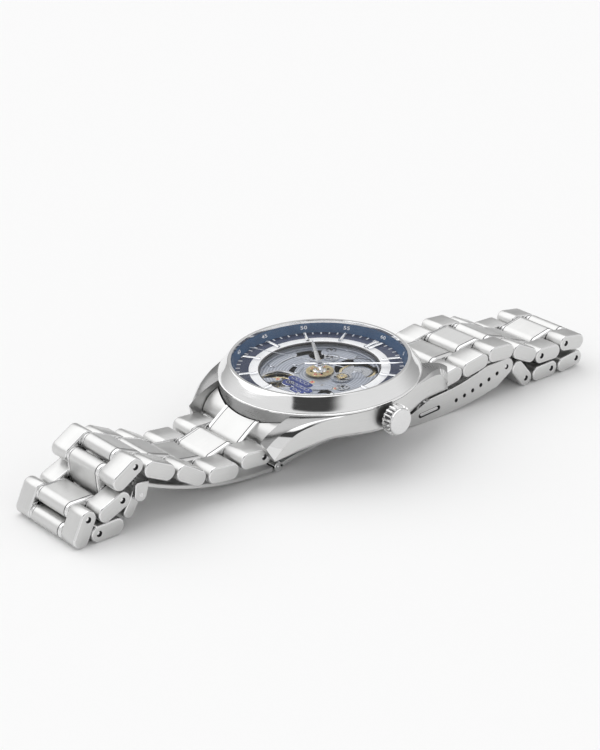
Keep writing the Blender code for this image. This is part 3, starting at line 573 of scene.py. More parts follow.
def add_plate(bm, inner, outer, hole, **shape):
    """One side plate of an outer piece, with its rounded edges and, if it shows, its pin hole, whose deep
    wall is painted dark as shade.
    """
    sign = 1.0 if outer > 0 else -1.0
    stations = [(inner, 0.28), (inner + sign * 0.08, 0.09), (inner + sign * 0.25, 0.0),
                (outer - sign * 0.32, 0.0), (outer - sign * 0.13, 0.06), (outer - sign * 0.03, 0.17),
                (outer, 0.30)]
    brushed, polished, dark = 0, 1, 2
    bands = [polished, polished, brushed, polished, polished, polished]
    rings = loft(bm, [link_loop(x, inset, **shape) for x, inset in stations], bands, polished,
                 None if hole else brushed)
    if not hole:
        return
    count = len(rings[-1])
    half = count // 2
    around = arc((0.0, 0.0), 1.0, -90, 90, half - 1) + arc((0.0, 0.0), 1.0, 90, 270, half - 1)

    def circle(radius, x):
        return [bm.verts.new((x, radius * y, radius * z)) for y, z in around]

    levels = [(PIN_HOLE + 0.05, outer), (PIN_HOLE, outer - sign * 0.05), (PIN_HOLE, outer - sign * 0.55),
              (PIN_HOLE - 0.1, outer - sign * 0.55), (PIN_HOLE - 0.16, outer - sign * 0.42),
              (PIN_HOLE - 0.3, outer - sign * 0.36)]
    # the deep wall of the hole takes the painted-shade steel: painted shade
    finish = [brushed, polished, dark, dark, polished, polished]
    previous = rings[-1]
    for (radius, x), band in zip(levels, finish):
        ring = circle(radius, x)
        for k in range(count):
            after = (k + 1) % count
            bm.faces.new((previous[k], previous[after], ring[after], ring[k])).material_index = band
        previous = ring
    bm.faces.new(previous).material_index = polished


def half_width_of(row):
    """Half the bracelet's width at a row counted from the case."""
    return LUG_HALF_WIDTH + (CLASP_HALF_WIDTH - LUG_HALF_WIDTH) * min(1.0, row / LINKS_TO_TAPER)


# Brushed and polished finishes, and the painted-shade steel for grooves and hole walls.
LINK_FINISHES_AND_SHADE = (BRUSHED, POLISHED, PAINTED_SHADE_STEEL)


def make_outer(node, half_width, hole, **shape):
    """Both side plates of a row and the pins between them."""
    bm = bmesh.new()
    for sign in (1.0, -1.0):
        add_plate(bm, sign * PLATE_INNER, sign * half_width, hole, **shape)
    for y in (0.0, LINK_SPACING):
        cylinder(bm, (y, 0.0), 0.5, -PLATE_INNER - 0.3, PLATE_INNER + 0.3, 0.02, 16, 1, 1, axis="X")
    make_piece(node + "_plates", bm, LINK_FINISHES_AND_SHADE, node, body=node, space=link_space(node),
               sharp=40.0)


def make_bracelet():
    """Every moving piece of the bracelet."""
    for node in frame["bodies"]:
        if node == "clasp_end_outer":
            make_outer(node, LAST_ROW_HALF_WIDTH, True, **LAST_ROW_SHAPE)
        elif "_outer_" in node:
            make_outer(node, half_width_of(int(node.rsplit("_", 1)[1]) - 1), node in ROWS_WITH_HOLES)
        elif "_centre" in node:
            make_centre(node)


def make_end_link(node, side):
    """End link: brushed shoulders and a tongue with polished strips and grooves painted dark as shade, cut to
    the case's curve, its cut wall painted dark as shade too.
    """
    shoulder = [(15.0, -3.0), (17.0, -3.55), (18.5, -4.1), (19.5, -4.6), (20.4, -5.3), (21.1, -6.1),
                (21.6, -7.0), (21.8, -7.9), (21.6, -8.6), (21.0, -9.1), (15.0, -8.0)]
    tongue = [(15.0, -3.0), (17.0, -3.5), (19.3, -4.35), (20.8, -5.05), (22.2, -5.9), (23.6, -6.85)]
    tongue += arc((23.8, -9.1), LINK_END_RADIUS, 55, -120, 14) + [(21.0, -9.4), (15.0, -8.0)]

    def stations(outline, spans, bands, first_cap, last_cap, bm):
        loops = []
        for x, inset in spans:
            points = inset_outline(outline, inset) if inset else outline
            loops.append([(x, side * y, z) for y, z in points])
        loft(bm, loops, bands, first_cap, last_cap)

    pieces = []
    for sign, tag in ((1.0, "right"), (-1.0, "left")):
        bm = bmesh.new()
        spans = [(sign * 4.9, 0.0), (sign * (LUG_HALF_WIDTH - 0.2), 0.0), (sign * LUG_HALF_WIDTH, 0.15)]
        stations(shoulder, spans, [0, 1], 0, 1, bm)
        pieces.append(make_piece(f"{node}_shoulder_{tag}", bm, LINK_FINISHES_AND_SHADE))
    bm = bmesh.new()
    edge = CENTRE_HALF_WIDTH
    half = [(-edge, 0.12), (-edge + 0.1, 0.0), (-edge + 0.78, 0.0), (-edge + 0.86, 0.14),
            (-edge + 0.94, 0.14), (-edge + 1.02, 0.0)]
    spans = half + [(-x, inset) for x, inset in reversed(half)]
    # bands of index 2 are the grooves, painted dark as shade
    stations(tongue, spans, [1, 1, 1, 2, 2, 0, 2, 2, 1, 1, 1], 1, 1, bm)
    pieces.append(make_piece(node + "_tongue", bm, LINK_FINISHES_AND_SHADE, node))
    for piece in pieces:
        # the wall cut against the case is painted dark as shade
        carve(piece, [drawn(cylinder, (0.0, 0.0), CASE_RADIUS + 0.22, -14.0, 2.0, 0.01, 192)])
        piece.data.set_sharp_from_angle(angle=radians(35.0))


# ---------------------------------------------------------------- case

def flank_x(y):
    """The case's side in plan: round in the middle, then straight to the lug tip."""
    y = abs(y)
    if y < 6.7:
        return sqrt(CASE_RADIUS ** 2 - y ** 2)
    return 19.48 - (y - 6.7) * 0.343


def between(points, y):
    """Read a curve given as (y, value) points, rounding its corners over a short reach."""
    def straight(at):
        at = abs(at)
        for (y0, v0), (y1, v1) in zip(points, points[1:]):
            if at <= y1:
                return v0 + (v1 - v0) * (at - y0) / (y1 - y0)
        (y0, v0), (y1, v1) = points[-2:]
        return v1 + (v1 - v0) * (at - y1) / (y1 - y0)

    offsets = (-1.2, -0.9, -0.6, -0.3, 0.0, 0.3, 0.6, 0.9, 1.2)
    return sum(straight(y + offset) for offset in offsets) / len(offsets)


FLANK_HALF_LENGTH = 23.1
FLANK_STEPS = 110
TOP_CURVE = [(0.0, -2.2), (15.5, -2.2), (17.5, -2.5), (20.0, -3.2), (22.5, -4.1), (24.0, -4.9), (24.8, -5.6)]
BEVEL_CURVE = [(0.0, -2.35), (10.0, -2.4), (12.8, -2.75), (16.2, -3.2), (19.0, -4.05), (20.2, -4.85),
               (21.2, -6.0), (22.0, -7.1), (22.7, -8.3), (FLANK_HALF_LENGTH, -9.2)]
BOTTOM_CURVE = [(0.0, -7.4), (2.9, -7.4), (7.8, -7.0), (11.9, -6.75), (14.0, -7.05), (16.3, -7.6),
                (19.1, -8.15), (21.1, -8.8), (22.5, -9.35), (FLANK_HALF_LENGTH, -9.6)]


def flank_section(sign, share):
    """One cut across a flank, from -1 at the 6 o'clock lug's tip to 1 at the other's."""
    y_low = FLANK_HALF_LENGTH * share
    lean = max(0.0, abs(share) - 0.5) / 0.5
    lean = lean * lean * (3.0 - 2.0 * lean)
    y_top = y_low + copysign(1.75 * lean, share)
    x_in = max(LUG_INNER, sqrt(max(0.0, 18.4 ** 2 - y_top ** 2)))
    z_top = between(TOP_CURVE, y_top)
    z_bevel = between(BEVEL_CURVE, y_low)
    z_low = min(between(BOTTOM_CURVE, y_low), z_bevel - 0.02)
    turned_in = max(0.0, abs(share) - 0.86) / 0.14
    x_out = flank_x(y_low) - 0.75 * turned_in * turned_in
    crest = Vector((x_in, y_top, z_top))
    shoulder = Vector((flank_x(y_top) - 0.3 - 0.9 * lean, y_top * 0.6 + y_low * 0.4,
                       z_top + (z_bevel - z_top) * 0.35))
    crown = crest.lerp(shoulder, 0.5) + Vector((0.0, 0.0, 0.12 * lean))
    tall = z_bevel - z_low
    points = [(x_in, y_low, z_low + 0.25), crest, crown, shoulder, (x_out, y_low, z_bevel),
              (x_out + 0.03, y_low, z_bevel - 0.06 * tall), (x_out, y_low, z_low + 0.12 * tall),
              (x_out - 0.22, y_low, z_low)]
    return [(sign * x, y, z) for x, y, z in points]


def make_case():
    """Case middle: a satin drum, and at each side a brushed flank with two lugs."""
    profile = [(18.4, -2.25), (20.5, -2.25), (20.55, -2.35), (20.55, -6.7), (20.2, -7.25), (18.4, -7.3)]
    make_piece("case_drum", drawn(revolve, profile, 192), (SATIN,), "case_middle")
    for sign, tag in ((1.0, "crown_side"), (-1.0, "plain_side")):
        bm = bmesh.new()
        loops = [flank_section(sign, k / FLANK_STEPS) for k in range(-FLANK_STEPS, FLANK_STEPS + 1)]
        rings = loft(bm, loops, 0, 0, 0)
        brushed, polished, satin = 0, 1, 2
        bands = (brushed, satin, satin, polished, brushed, brushed, brushed, polished)
        sharp_rows, count = (0, 1, 4, 6, 7), len(rings[0])
        for first, second in zip(rings, rings[1:]):
            for k in range(count):
                after = (k + 1) % count
                face = bm.faces.get((first[k], first[after], second[after], second[k]))
                face.material_index = bands[k]
                bm.edges.get((first[k], second[k])).smooth = k not in sharp_rows
        for ring in (rings[0], rings[-1]):
            for k in range(count):
                bm.edges.get((ring[k], ring[(k + 1) % count])).smooth = False
        make_piece(f"case_flank_{tag}", bm, (BRUSHED_CASE, POLISHED, SATIN), sharp=None,
                   weld=False)
    # the crown tube takes the painted-shade steel: shade painted into the gap under the crown
    make_piece("crown_tube", drawn(cylinder, (0.0, CROWN_HEIGHT), 1.7, 19.6, 21.25, 0.08, 40, axis="X"),
               (PAINTED_SHADE_STEEL,))


def make_bezel():
    """Bezel, glass and the blue inner ring; its numerals are made with the dial."""
    bm = bmesh.new()
    profile = [(GLASS_EDGE, 0.35), (GLASS_EDGE, 0.92), (GLASS_EDGE + 0.06, 0.985), (18.36, 1.0),
               (BEZEL_RIM, 0.95), (18.58, 0.82), (19.2, 0.06), (19.9, -0.84), (20.42, -1.5),
               (BEZEL_FLANGE, -1.66), (20.47, -1.74), (20.4, -1.8), (20.62, -1.84), (20.7, -1.9),
               (20.7, -2.16), (20.62, -2.22), (18.5, -2.22), (18.5, 0.35)]
    revolve(bm, profile, 256)
    make_piece("bezel_ring", bm, (BEZEL_STEEL,), "bezel", sharp=30.0)
    profile = [(0.0, 1.2), (6.0, 1.18), (12.0, 1.12), (17.0, 1.03), (17.55, 0.95), (17.65, 0.85),
               (17.65, 0.35), (0.0, 0.35)]
    make_piece("crystal_disc", drawn(revolve, profile, 128, closed=False), (GLASS,), "crystal")
    profile = [(17.74, 0.3), (17.72, 0.34), (17.66, 0.3), (16.95, -1.4), (16.93, -1.48), (17.9, -1.48),
               (17.9, 0.3)]
    make_piece("chapter_ring", drawn(revolve, profile, 192), (BLUE,), "rehaut_ring")


RING_SLOPE = atan2(1.75, 0.74)


def ring_space(clock_degrees, level):
    """A frame lying on the blue ring's slope, its Y pointing up the slope away from the dial."""
    share = (level + 1.45) / 1.75
    radius = 16.93 + 0.73 * share
    x, y = polar(radius, clock_degrees)
    outward = Vector((x, y, 0.0)).normalized()
    up_slope = outward * cos(RING_SLOPE) + Vector((0.0, 0.0, 1.0)) * sin(RING_SLOPE)
    right = Vector((outward.y, -outward.x, 0.0))
    local = space_of(Vector((x, y, level)) * MM, right, up_slope)
    return HEAD @ local


def make_numeral(value, clock_degrees):
    """One printed minute number."""
    curve = bpy.data.curves.new(f"numeral_{value}", "FONT")
    curve.body = str(value)
    curve.size = 1.05 * MM
    curve.align_x = curve.align_y = "CENTER"
    curve.space_character = 1.08
    curve.offset = 0.018 * MM
    curve.extrude = 0.012 * MM
    wide = Matrix.Diagonal((1.35, 0.95, 1.0, 1.0))
    space = ring_space(clock_degrees, -0.46) @ Matrix.Translation((0.0, 0.0, 0.012 * MM)) @ wide
    text = add_object(curve.name, curve, space)
    mesh = evaluated_mesh(text)
    space = text.matrix_world.copy()
    bpy.data.objects.remove(text, do_unlink=True)
    mesh.materials.clear()
    mesh.materials.append(PRINT)
    made = add_object(f"minute_number_{value}", mesh, space)
    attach(made, "head")


def make_dial():
    """Navy ring with minute ticks, white ring, inner edge painted dark as shade, and raised batons."""
    bm = bmesh.new()
    navy, silver, dark = 0, 1, 2
    profile = [(17.7, DIAL_TOP), (14.35, DIAL_TOP), (14.3, -1.53), (14.25, DIAL_TOP), (12.5, DIAL_TOP),
               (12.42, -1.52), (12.38, -1.6), (12.1, -1.62), (12.1, -1.9), (17.7, -1.9)]
    # the dark bands of the inner edge are the painted-shade steel: painted shade
    revolve(bm, profile, 192, [navy, navy, silver, silver, silver, dark, dark, dark, navy, navy])
    make_piece("dial_disc", bm, (NAVY, SILVER_RING, PAINTED_SHADE_STEEL), "dial_ring")
    bm = bmesh.new()
    for minute in range(60):
        angle = 6.0 * minute
        inner = 16.1 if minute % 5 else 15.75
        half = 0.13 if minute % 5 else 0.17
        radial_bar(bm, angle, half, half, inner, 16.93, DIAL_TOP, -1.47, 0.0)
    make_piece("minute_ticks", bm, (PRINT,), weld=False)
    bm = bmesh.new()
    for hour in range(1, 12):
        hour_baton(bm, 30.0 * hour)
    for shift in (-2.3, 2.3):
        hour_baton(bm, shift)
    make_piece("hour_batons", bm, (BATON, PRINT), weld=False)
    for five in range(1, 13):
        make_numeral(5 * five, 30.0 * five)


def radial_bar(bm, angle, inner_half, outer_half, inner, outer, low, high, ridge, finish=0):
    """A bar that points at the dial centre, with a ridge along its top if ridge is above 0."""
    along = Vector((*polar(1.0, angle), 0.0))
    across = Vector((along.y, -along.x, 0.0))
    up = Vector((0.0, 0.0, 1.0))

    def section(reach, half, top):
        base = along * reach
        return [base - across * half + up * low, base - across * half + up * top,
                base + up * (top + ridge), base + across * half + up * top, base + across * half + up * low]

    loft(bm, [section(inner, inner_half, high), section(outer, outer_half, high)], finish, finish, finish)


def hour_baton(bm, angle):
    """A raised hour marker: a roofed bar that ends in a small round foot over the white ring."""
    radial_bar(bm, angle, 0.36, 0.36, 12.9, 16.5, DIAL_TOP, -1.16, 0.1)
    radial_bar(bm, angle, 0.3, 0.36, 12.72, 12.9, DIAL_TOP, -1.16, 0.1)
    radial_bar(bm, angle, 0.12, 0.12, 13.3, 16.1, -1.1, -1.045, 0.0, 1)


def make_hand(name, node, angle, stations, low, high, hub, tube, tube_low, wheel=None, finish=HAND):
    """A roofed hand with its hub and tube, pointing at its clock angle."""
    space = HEAD @ Matrix.Rotation(-radians(angle), 4, "Z")
    bm = bmesh.new()
    ridge = (high - low) * 0.5
    loops = [[(-half, reach, low), (-half, reach, high - ridge), (0.0, reach, high),
              (half, reach, high - ridge), (half, reach, low)] for reach, half in stations]
    loft(bm, loops, 0, 0, 0)
    cylinder(bm, (0.0, 0.0), hub, low - 0.02, high + 0.05, 0.04, 40)
    cylinder(bm, (0.0, 0.0), tube, tube_low, low, 0.02, 24)
    finishes = (finish, GOLD, RUBY, PALE_GOLD, PAINTED_SHADE_STEEL)
    if wheel:
        wheel(bm)
    make_piece(name, bm, finishes, node, body=node, space=space, sharp=25.0, weld=False)


def gear_outline(teeth, radius, depth):
    """A toothed wheel's rim with slightly rounded teeth."""
    points = []
    pitch = 360.0 / teeth
    for tooth in range(teeth):
        for share, reach in ((0.0, radius - depth), (0.22, radius - depth), (0.36, radius - 0.25 * depth),
                             (0.46, radius), (0.66, radius), (0.76, radius - 0.25 * depth),
                             (0.9, radius - depth)):
            angle = radians(pitch * (tooth + share))
            points.append((reach * cos(angle), reach * sin(angle)))
    return points


def add_wheel(bm, teeth, radius, low, high, rim, spokes, hub, finish=0, centre=(0.0, 0.0), depth=0.28):
    """A spoked, toothed wheel."""
    middle = Vector(centre)
    outline = gear_outline(teeth, radius, depth)
    outer = [tuple(middle + Vector(point)) for point in outline]
    inner = [tuple(middle + Vector(point).normalized() * rim) for point in outline]
    levels = ((inner, low), (outer, low), (outer, high), (inner, high), (inner, low))
    loft(bm, [[(*point, level) for point in points] for points, level in levels], finish)
    for k in range(spokes):
        angle = radians(360.0 * k / spokes + 17.0)
        along = Vector((cos(angle), sin(angle)))
        side = Vector((-along.y, along.x))
        end = middle + along * (rim + 0.1)
        corners = [middle - side * 0.28, end - side * 0.16, end + side * 0.16, middle + side * 0.28]
        plate(bm, [tuple(corner) for corner in corners], low + 0.02, high - 0.02, 0.02, finish, finish)
    cylinder(bm, centre, hub, low - 0.03, high + 0.05, 0.03, 24, finish, finish)


def make_hands():
    """Hour, minute and second hands."""
    def hour_wheel(bm):
        add_wheel(bm, 40, 2.85, -2.42, -2.2, 2.1, 0, 1.0, 1, depth=0.22)
        revolve(bm, [(0.95, -2.36), (2.7, -2.36), (2.7, -2.21), (2.62, -2.17), (0.95, -2.17)], 96, 3)
        revolve(bm, [(0.82, -2.25), (1.35, -2.25), (1.35, -2.12), (1.25, -2.08), (0.82, -2.08)], 48, 0)
        for turn in range(4):
            add_jewel(bm, *polar(1.85, 90.0 * turn + 38.0), -2.17, 0.24, 1, 2)
            # these screw heads take the painted-shade steel (index 4): painted shade under the hands
            add_screw(bm, *polar(1.75, 90.0 * turn + 83.0), -2.17, 0.26, 20.0 * turn, 4)

    make_hand("hour_hand_blade", "hour_hand", HOUR_ANGLE,
              [(-2.6, 0.2), (-2.4, 0.34), (0.0, 0.5), (2.0, 0.5), (10.3, 0.34), (11.5, 0.08)],
              -0.98, -0.78, 1.15, 0.8, -2.4, hour_wheel)
    make_hand("minute_hand_blade", "minute_hand", MINUTE_ANGLE,
              [(-3.0, 0.18), (-2.8, 0.3), (0.0, 0.44), (2.0, 0.44), (14.8, 0.26), (16.0, 0.05)],
              -0.66, -0.47, 0.9, 0.6, -3.4)
    make_hand("second_hand_needle", "second_hand", SECOND_ANGLE,
              [(-5.6, 0.1), (-5.4, 0.14), (-3.2, 0.14), (-3.0, 0.07), (0.0, 0.08), (16.2, 0.035)],
              -0.34, -0.22, 0.55, 0.28, -4.6, finish=NEEDLE)


# ---------------------------------------------------------------- movement

def add_screw(bm, x, y, level, radius, turn, finish=0):
    """A flat screw head with its slot, standing a little proud of a plate."""
    slot_half = radius * 0.16
    direction = Vector((cos(radians(turn)), sin(radians(turn))))
    side = Vector((-direction.y, direction.x))
    for sign in (1.0, -1.0):
        start = degrees(asin(slot_half / radius))
        half = arc((0.0, 0.0), radius, start, 180.0 - start, 14)
        outline = [tuple(Vector((x, y)) + direction * a + side * (sign * b)) for a, b in half]
        if sign < 0:
            outline = outline[::-1]
        plate(bm, outline, level - 0.1, level + 0.11, 0.035, finish, finish)
    cylinder(bm, (x, y), radius * 0.96, level - 0.1, level + 0.02, 0.01, 28, finish, finish)


def add_jewel(bm, x, y, level, radius, gold, ruby):
    """A ruby bearing in its gilt ring."""
    revolve(bm, [(radius * 0.95, level), (radius * 1.4, level), (radius * 1.4, level + 0.07),
                 (radius * 1.3, level + 0.1), (radius * 1.05, level + 0.1), (radius * 0.95, level + 0.05)],
            28, gold, (x, y))
    revolve(bm, [(0.0, level + 0.02), (radius * 0.22, level + 0.02), (radius * 0.5, level + 0.09),
                 (radius * 0.98, level + 0.05), (radius * 0.98, level - 0.05), (0.0, level - 0.05)], 28,
            ruby, (x, y), closed=False)


def disc_cutter(x, y, radius, low=-9.0, high=2.0, segments=64):
    """A round cutter through a plate."""
    return drawn(cylinder, (x, y), radius, low, high, 0.01, segments)


def window_cutter(inner, outer, start, end):
    """A cutter for a curved window about the dial centre."""
    outline = arc((0.0, 0.0), outer, start, end, 20) + arc((0.0, 0.0), inner, end, start, 20)
    return drawn(plate, outline, -9.0, 2.0, 0.01)


def make_movement():
    """Plates, bridges, wheels, screws and jewels under the dial."""
    base = make_piece("mainplate_disc", drawn(cylinder, (0.0, 0.0), MOVEMENT_RADIUS, -6.4, -5.0, 0.1, 128),
                      (PLATE,), "mainplate")
    # the walls of these holes are painted dark as shade by the cutters' steel
    carve(base, [disc_cutter(-7.4, 4.4, 2.6), disc_cutter(8.2, -4.6, 2.4), disc_cutter(-8.6, -2.2, 1.5),
                 disc_cutter(9.6, 3.2, 0.8), disc_cutter(-2.2, 10.6, 1.0)])
    soften(base, 0.08)

    bridge = make_piece("train_bridge_disc", drawn(cylinder, (0.0, 0.0), MOVEMENT_RADIUS, -3.35, BRIDGE_TOP,
                                                   0.06, 160), (RHODIUM,), "train_bridge")
    # the walls of these openings are painted dark as shade by the cutters' steel
    carve(bridge, [disc_cutter(0.0, 0.0, 1.35), disc_cutter(*BARREL_PLACE, 4.7),
                   disc_cutter(*BALANCE_PLACE, 3.9), disc_cutter(*MINUTE_WHEEL_PLACE, 0.45, segments=24),
                   disc_cutter(-6.6, 5.6, 2.2), disc_cutter(7.9, -5.4, 1.6),
                   window_cutter(9.2, 10.9, 148, 196), window_cutter(9.6, 11.0, -22, 6),
                   window_cutter(5.2, 6.4, 196, 226)])
    soften(bridge, 0.1)

    make_raised_bridges()
    bm = bmesh.new()
    steel, gold, ruby = 0, 1, 2
    for x, y, radius, turn in ((-11.6, 3.6, 0.8, 20), (-4.2, 11.6, 0.75, 70), (11.3, 5.8, 0.8, -30),
                               (11.0, -6.2, 0.75, 10), (2.6, -12.0, 0.7, 55), (-9.6, -7.6, 0.75, 100),
                               (-2.7, 4.2, 0.55, 40), (4.9, -3.4, 0.55, 130), (-4.6, -1.4, 0.5, 15),
                               (9.6, 9.2, 0.5, 80), (-9.0, 9.2, 0.6, 150), (6.2, -9.8, 0.6, 35)):
        add_screw(bm, x, y, BRIDGE_TOP, radius, turn, steel)
    for x, y, radius in ((-3.4, 2.2, 0.42), (2.2, -3.9, 0.42), (-6.9, 1.4, 0.36), (7.6, -2.4, 0.36),
                         (-8.9, -4.4, 0.34)):
        add_jewel(bm, x, y, BRIDGE_TOP, radius, gold, ruby)
    for x, y, radius in ((0.9, -1.9, 0.36), (1.7, -1.2, 0.3)):
        add_jewel(bm, x, y, -2.22, radius, gold, ruby)
    make_piece("screws_and_jewels", bm, (SCREW, GOLD, RUBY), weld=False)

    bm = bmesh.new()
    add_wheel(bm, 40, 2.5, -4.5, -4.25, 1.9, 5, 0.5, 1, (-7.1, 4.6))
    add_wheel(bm, 48, 2.2, -4.1, -3.9, 1.7, 4, 0.45, 1, (8.2, -4.9))
    plate(bm, arc((-8.9, -2.6), 1.1, 0, 345, 23), -4.6, -3.4, 0.05)
    make_piece("under_wheels", bm, (SCREW, GOLD), weld=False)
    make_barrel()
    make_minute_wheel()
    make_balance()


def band_outline(inner, outer, start, end):
    """A curved band about the dial centre with rounded ends, angles anticlockwise from 3 o'clock."""
    middle, half = (inner + outer) / 2.0, (outer - inner) / 2.0
    outline = arc((0.0, 0.0), outer, start, end, 18)
    tip = (middle * cos(radians(end)), middle * sin(radians(end)))
    outline += arc(tip, half, end, end + 180.0, 8)[1:-1]
    outline += arc((0.0, 0.0), inner, end, start, 18)
    root = (middle * cos(radians(start)), middle * sin(radians(start)))
    return outline + arc(root, half, start + 180.0, start + 360.0, 8)[1:-1]


def make_raised_bridges():
    """Upper bridges with polished edges, a grooved outer ring and two winding wheels."""
    bm = bmesh.new()
    profile = [(11.75, BRIDGE_TOP), (11.75, -2.62), (11.85, -2.56)]
    for groove in range(3):
        reach = 12.15 + 0.4 * groove
        profile += [(reach, -2.56), (reach + 0.05, -2.64), (reach + 0.13, -2.64), (reach + 0.18, -2.56)]
    profile += [(13.2, -2.56), (13.3, -2.62), (13.3, BRIDGE_TOP)]
    revolve(bm, profile, 160)
    make_piece("movement_rim", bm, (RHODIUM,))
    bm = bmesh.new()
    for inner, outer, start, end in ((8.0, 11.3, 100.0, 128.0), (5.6, 7.4, 158.0, 186.0),
                                     (9.3, 11.3, 172.0, 206.0), (6.2, 8.2, -62.0, -28.0),
                                     (9.6, 11.3, -58.0, -36.0), (9.9, 11.3, -22.0, 4.0),
                                     (3.9, 5.2, 196.0, 222.0), (4.2, 5.6, 108.0, 136.0)):
        plate(bm, band_outline(inner, outer, start, end), -2.83, -2.6, 0.09, 1, 0)
    make_piece("upper_bridges", bm, (RHODIUM, SCREW), weld=False)
    bm = bmesh.new()
    for place, teeth, radius in (((-3.6, 6.4), 26, 1.7), ((-6.3, 8.6), 20, 1.2), ((8.3, -1.2), 24, 1.45)):
        add_wheel(bm, teeth, radius, -2.78, -2.6, radius - 0.42, 5, 0.42, 0, place, 0.2)
        # these screw heads take the painted-shade steel: painted shade
        add_screw(bm, *place, -2.56, 0.34, 40.0, 1)
    make_piece("winding_wheels", bm, (SCREW, PAINTED_SHADE_STEEL), weld=False)


def local_space(place):
    """The head's frame moved to a wheel's centre."""
    return HEAD @ Matrix.Translation((place[0] * MM, place[1] * MM, 0.0))


def make_barrel():
    """Mainspring barrel: toothed drum, lid painted dark as shade under the bridge, ratchet wheel and its
    screw.
    """
    bm = bmesh.new()
    dark, gold, steel = 0, 1, 2
    plate(bm, gear_outline(60, 4.3, 0.3), -4.75, -4.2, 0.02, gold, gold)
    # the lid's face takes the painted-shade steel: painted shade
    cylinder(bm, (0.0, 0.0), 3.9, -4.2, -3.75, 0.08, 96, gold, dark)
    plate(bm, gear_outline(44, 3.1, 0.22), -3.75, -3.5, 0.03, steel, steel)
    revolve(bm, [(3.25, -3.74), (3.75, -3.74), (3.75, -3.6), (3.25, -3.6)], 96, gold)
    cylinder(bm, (0.0, 0.0), 1.0, -3.5, -3.3, 0.05, 48, steel, steel)
    add_screw(bm, 0.0, 0.0, -3.3, 0.8, 25.0, steel)
    make_piece("barrel_drum", bm, (PAINTED_SHADE_STEEL, GOLD, SCREW), "mainspring_barrel",
               body="mainspring_barrel", space=local_space(BARREL_PLACE), weld=False)
    bm = bmesh.new()
    x, y = BARREL_PLACE
    plate(bm, arc((x, y), 4.55, 60, 150, 20) + arc((x, y), 3.2, 150, 60, 20), -3.1, -2.84, 0.05)
    plate(bm, arc((x, y), 4.5, -70, -20, 12) + arc((x, y), 2.2, -20, -70, 12), -3.1, -2.84, 0.05)
    make_piece("barrel_bridge_arms", bm, (RHODIUM,), weld=False)


def make_minute_wheel():
    """The small gilt wheel between the minute and the hour tubes."""
    bm = bmesh.new()
    add_wheel(bm, 30, 2.25, -2.7, -2.47, 1.6, 4, 0.55, 1, depth=0.28)
    add_wheel(bm, 12, 1.15, -2.46, -2.28, 0.7, 0, 0.72, 0, depth=0.3)
    cylinder(bm, (0.0, 0.0), 0.3, -6.1, -2.2, 0.03, 20, 1, 1)
    make_piece("minute_wheel_teeth", bm, (GOLD, SCREW), "minute_wheel", body="minute_wheel",
               space=local_space(MINUTE_WHEEL_PLACE), weld=False)


def make_balance():
    """Balance wheel with three arms, timing screws and hairspring, under its cock."""
    bm = bmesh.new()
    revolve(bm, [(2.72, -3.72), (2.78, -3.68), (3.24, -3.68), (3.3, -3.74), (3.3, -4.16), (3.24, -4.22),
                 (2.78, -4.22), (2.72, -4.16)], 96, 0)
    for turn in range(3):
        radial_bar(bm, 120.0 * turn + 10.0, 0.3, 0.2, 0.3, 2.8, -4.1, -3.85, 0.04, 0)
    for turn in range(12):
        x, y = polar(3.02, 30.0 * turn + 5.0)
        cylinder(bm, (x, y), 0.13, -3.7, -3.55, 0.03, 12, 1, 1)
    cylinder(bm, (0.0, 0.0), 0.75, -4.1, -3.7, 0.05, 32)
    cylinder(bm, (0.0, 0.0), 0.2, -6.1, -3.2, 0.02, 16, 1, 1)
    make_piece("balance_rim", bm, (GOLD, SCREW), "balance_wheel", body="balance_wheel",
               space=local_space(BALANCE_PLACE), weld=False)
    bm = bmesh.new()
    turns, steps = 7, 36
    loops = []
    for k in range(turns * steps + 1):
        angle, radius = tau * k / steps, 0.5 + 0.2 * k / steps
        corners = ((radius + 0.02, -3.5), (radius + 0.02, -3.36), (radius - 0.02, -3.36),
                   (radius - 0.02, -3.5))
        loops.append([(reach * cos(angle), reach * sin(angle), z) for reach, z in corners])
    loft(bm, loops, 0, 0, 0)
    make_piece("hairspring", bm, (SCREW,), body="balance_wheel", space=local_space(BALANCE_PLACE), weld=False)
    bm = bmesh.new()
    x, y = BALANCE_PLACE
    revolve(bm, [(3.62, -3.3), (4.3, -3.3), (4.3, -2.86), (4.22, -2.78), (3.7, -2.78), (3.62, -2.86)], 96,
            0, (x, y))
    make_piece("balance_ring", bm, (SCREW,), weld=False)
    bm = bmesh.new()
    along = Vector(polar(1.0, 215.0))
    side = Vector((along.y, -along.x))
    centre = Vector((x, y))
    shape = [centre + side * 0.7, centre + along * 4.6 + side * 1.5, centre + along * 5.0 - side * 1.2,
             centre - side * 0.7]
    shape += [centre + side * (0.85 * cos(radians(a))) - along * (0.85 * sin(radians(a)))
              for a in range(180, -1, -15)]
    plate(bm, [tuple(corner) for corner in shape], -3.1, -2.78, 0.06)
    add_jewel(bm, x, y, -2.78, 0.36, 1, 2)
    spot = centre + along * 3.9
    add_screw(bm, spot.x, spot.y, -2.78, 0.55, 60.0, 3)
    make_piece("balance_cock", bm, (RHODIUM, GOLD, RUBY, SCREW), weld=False)


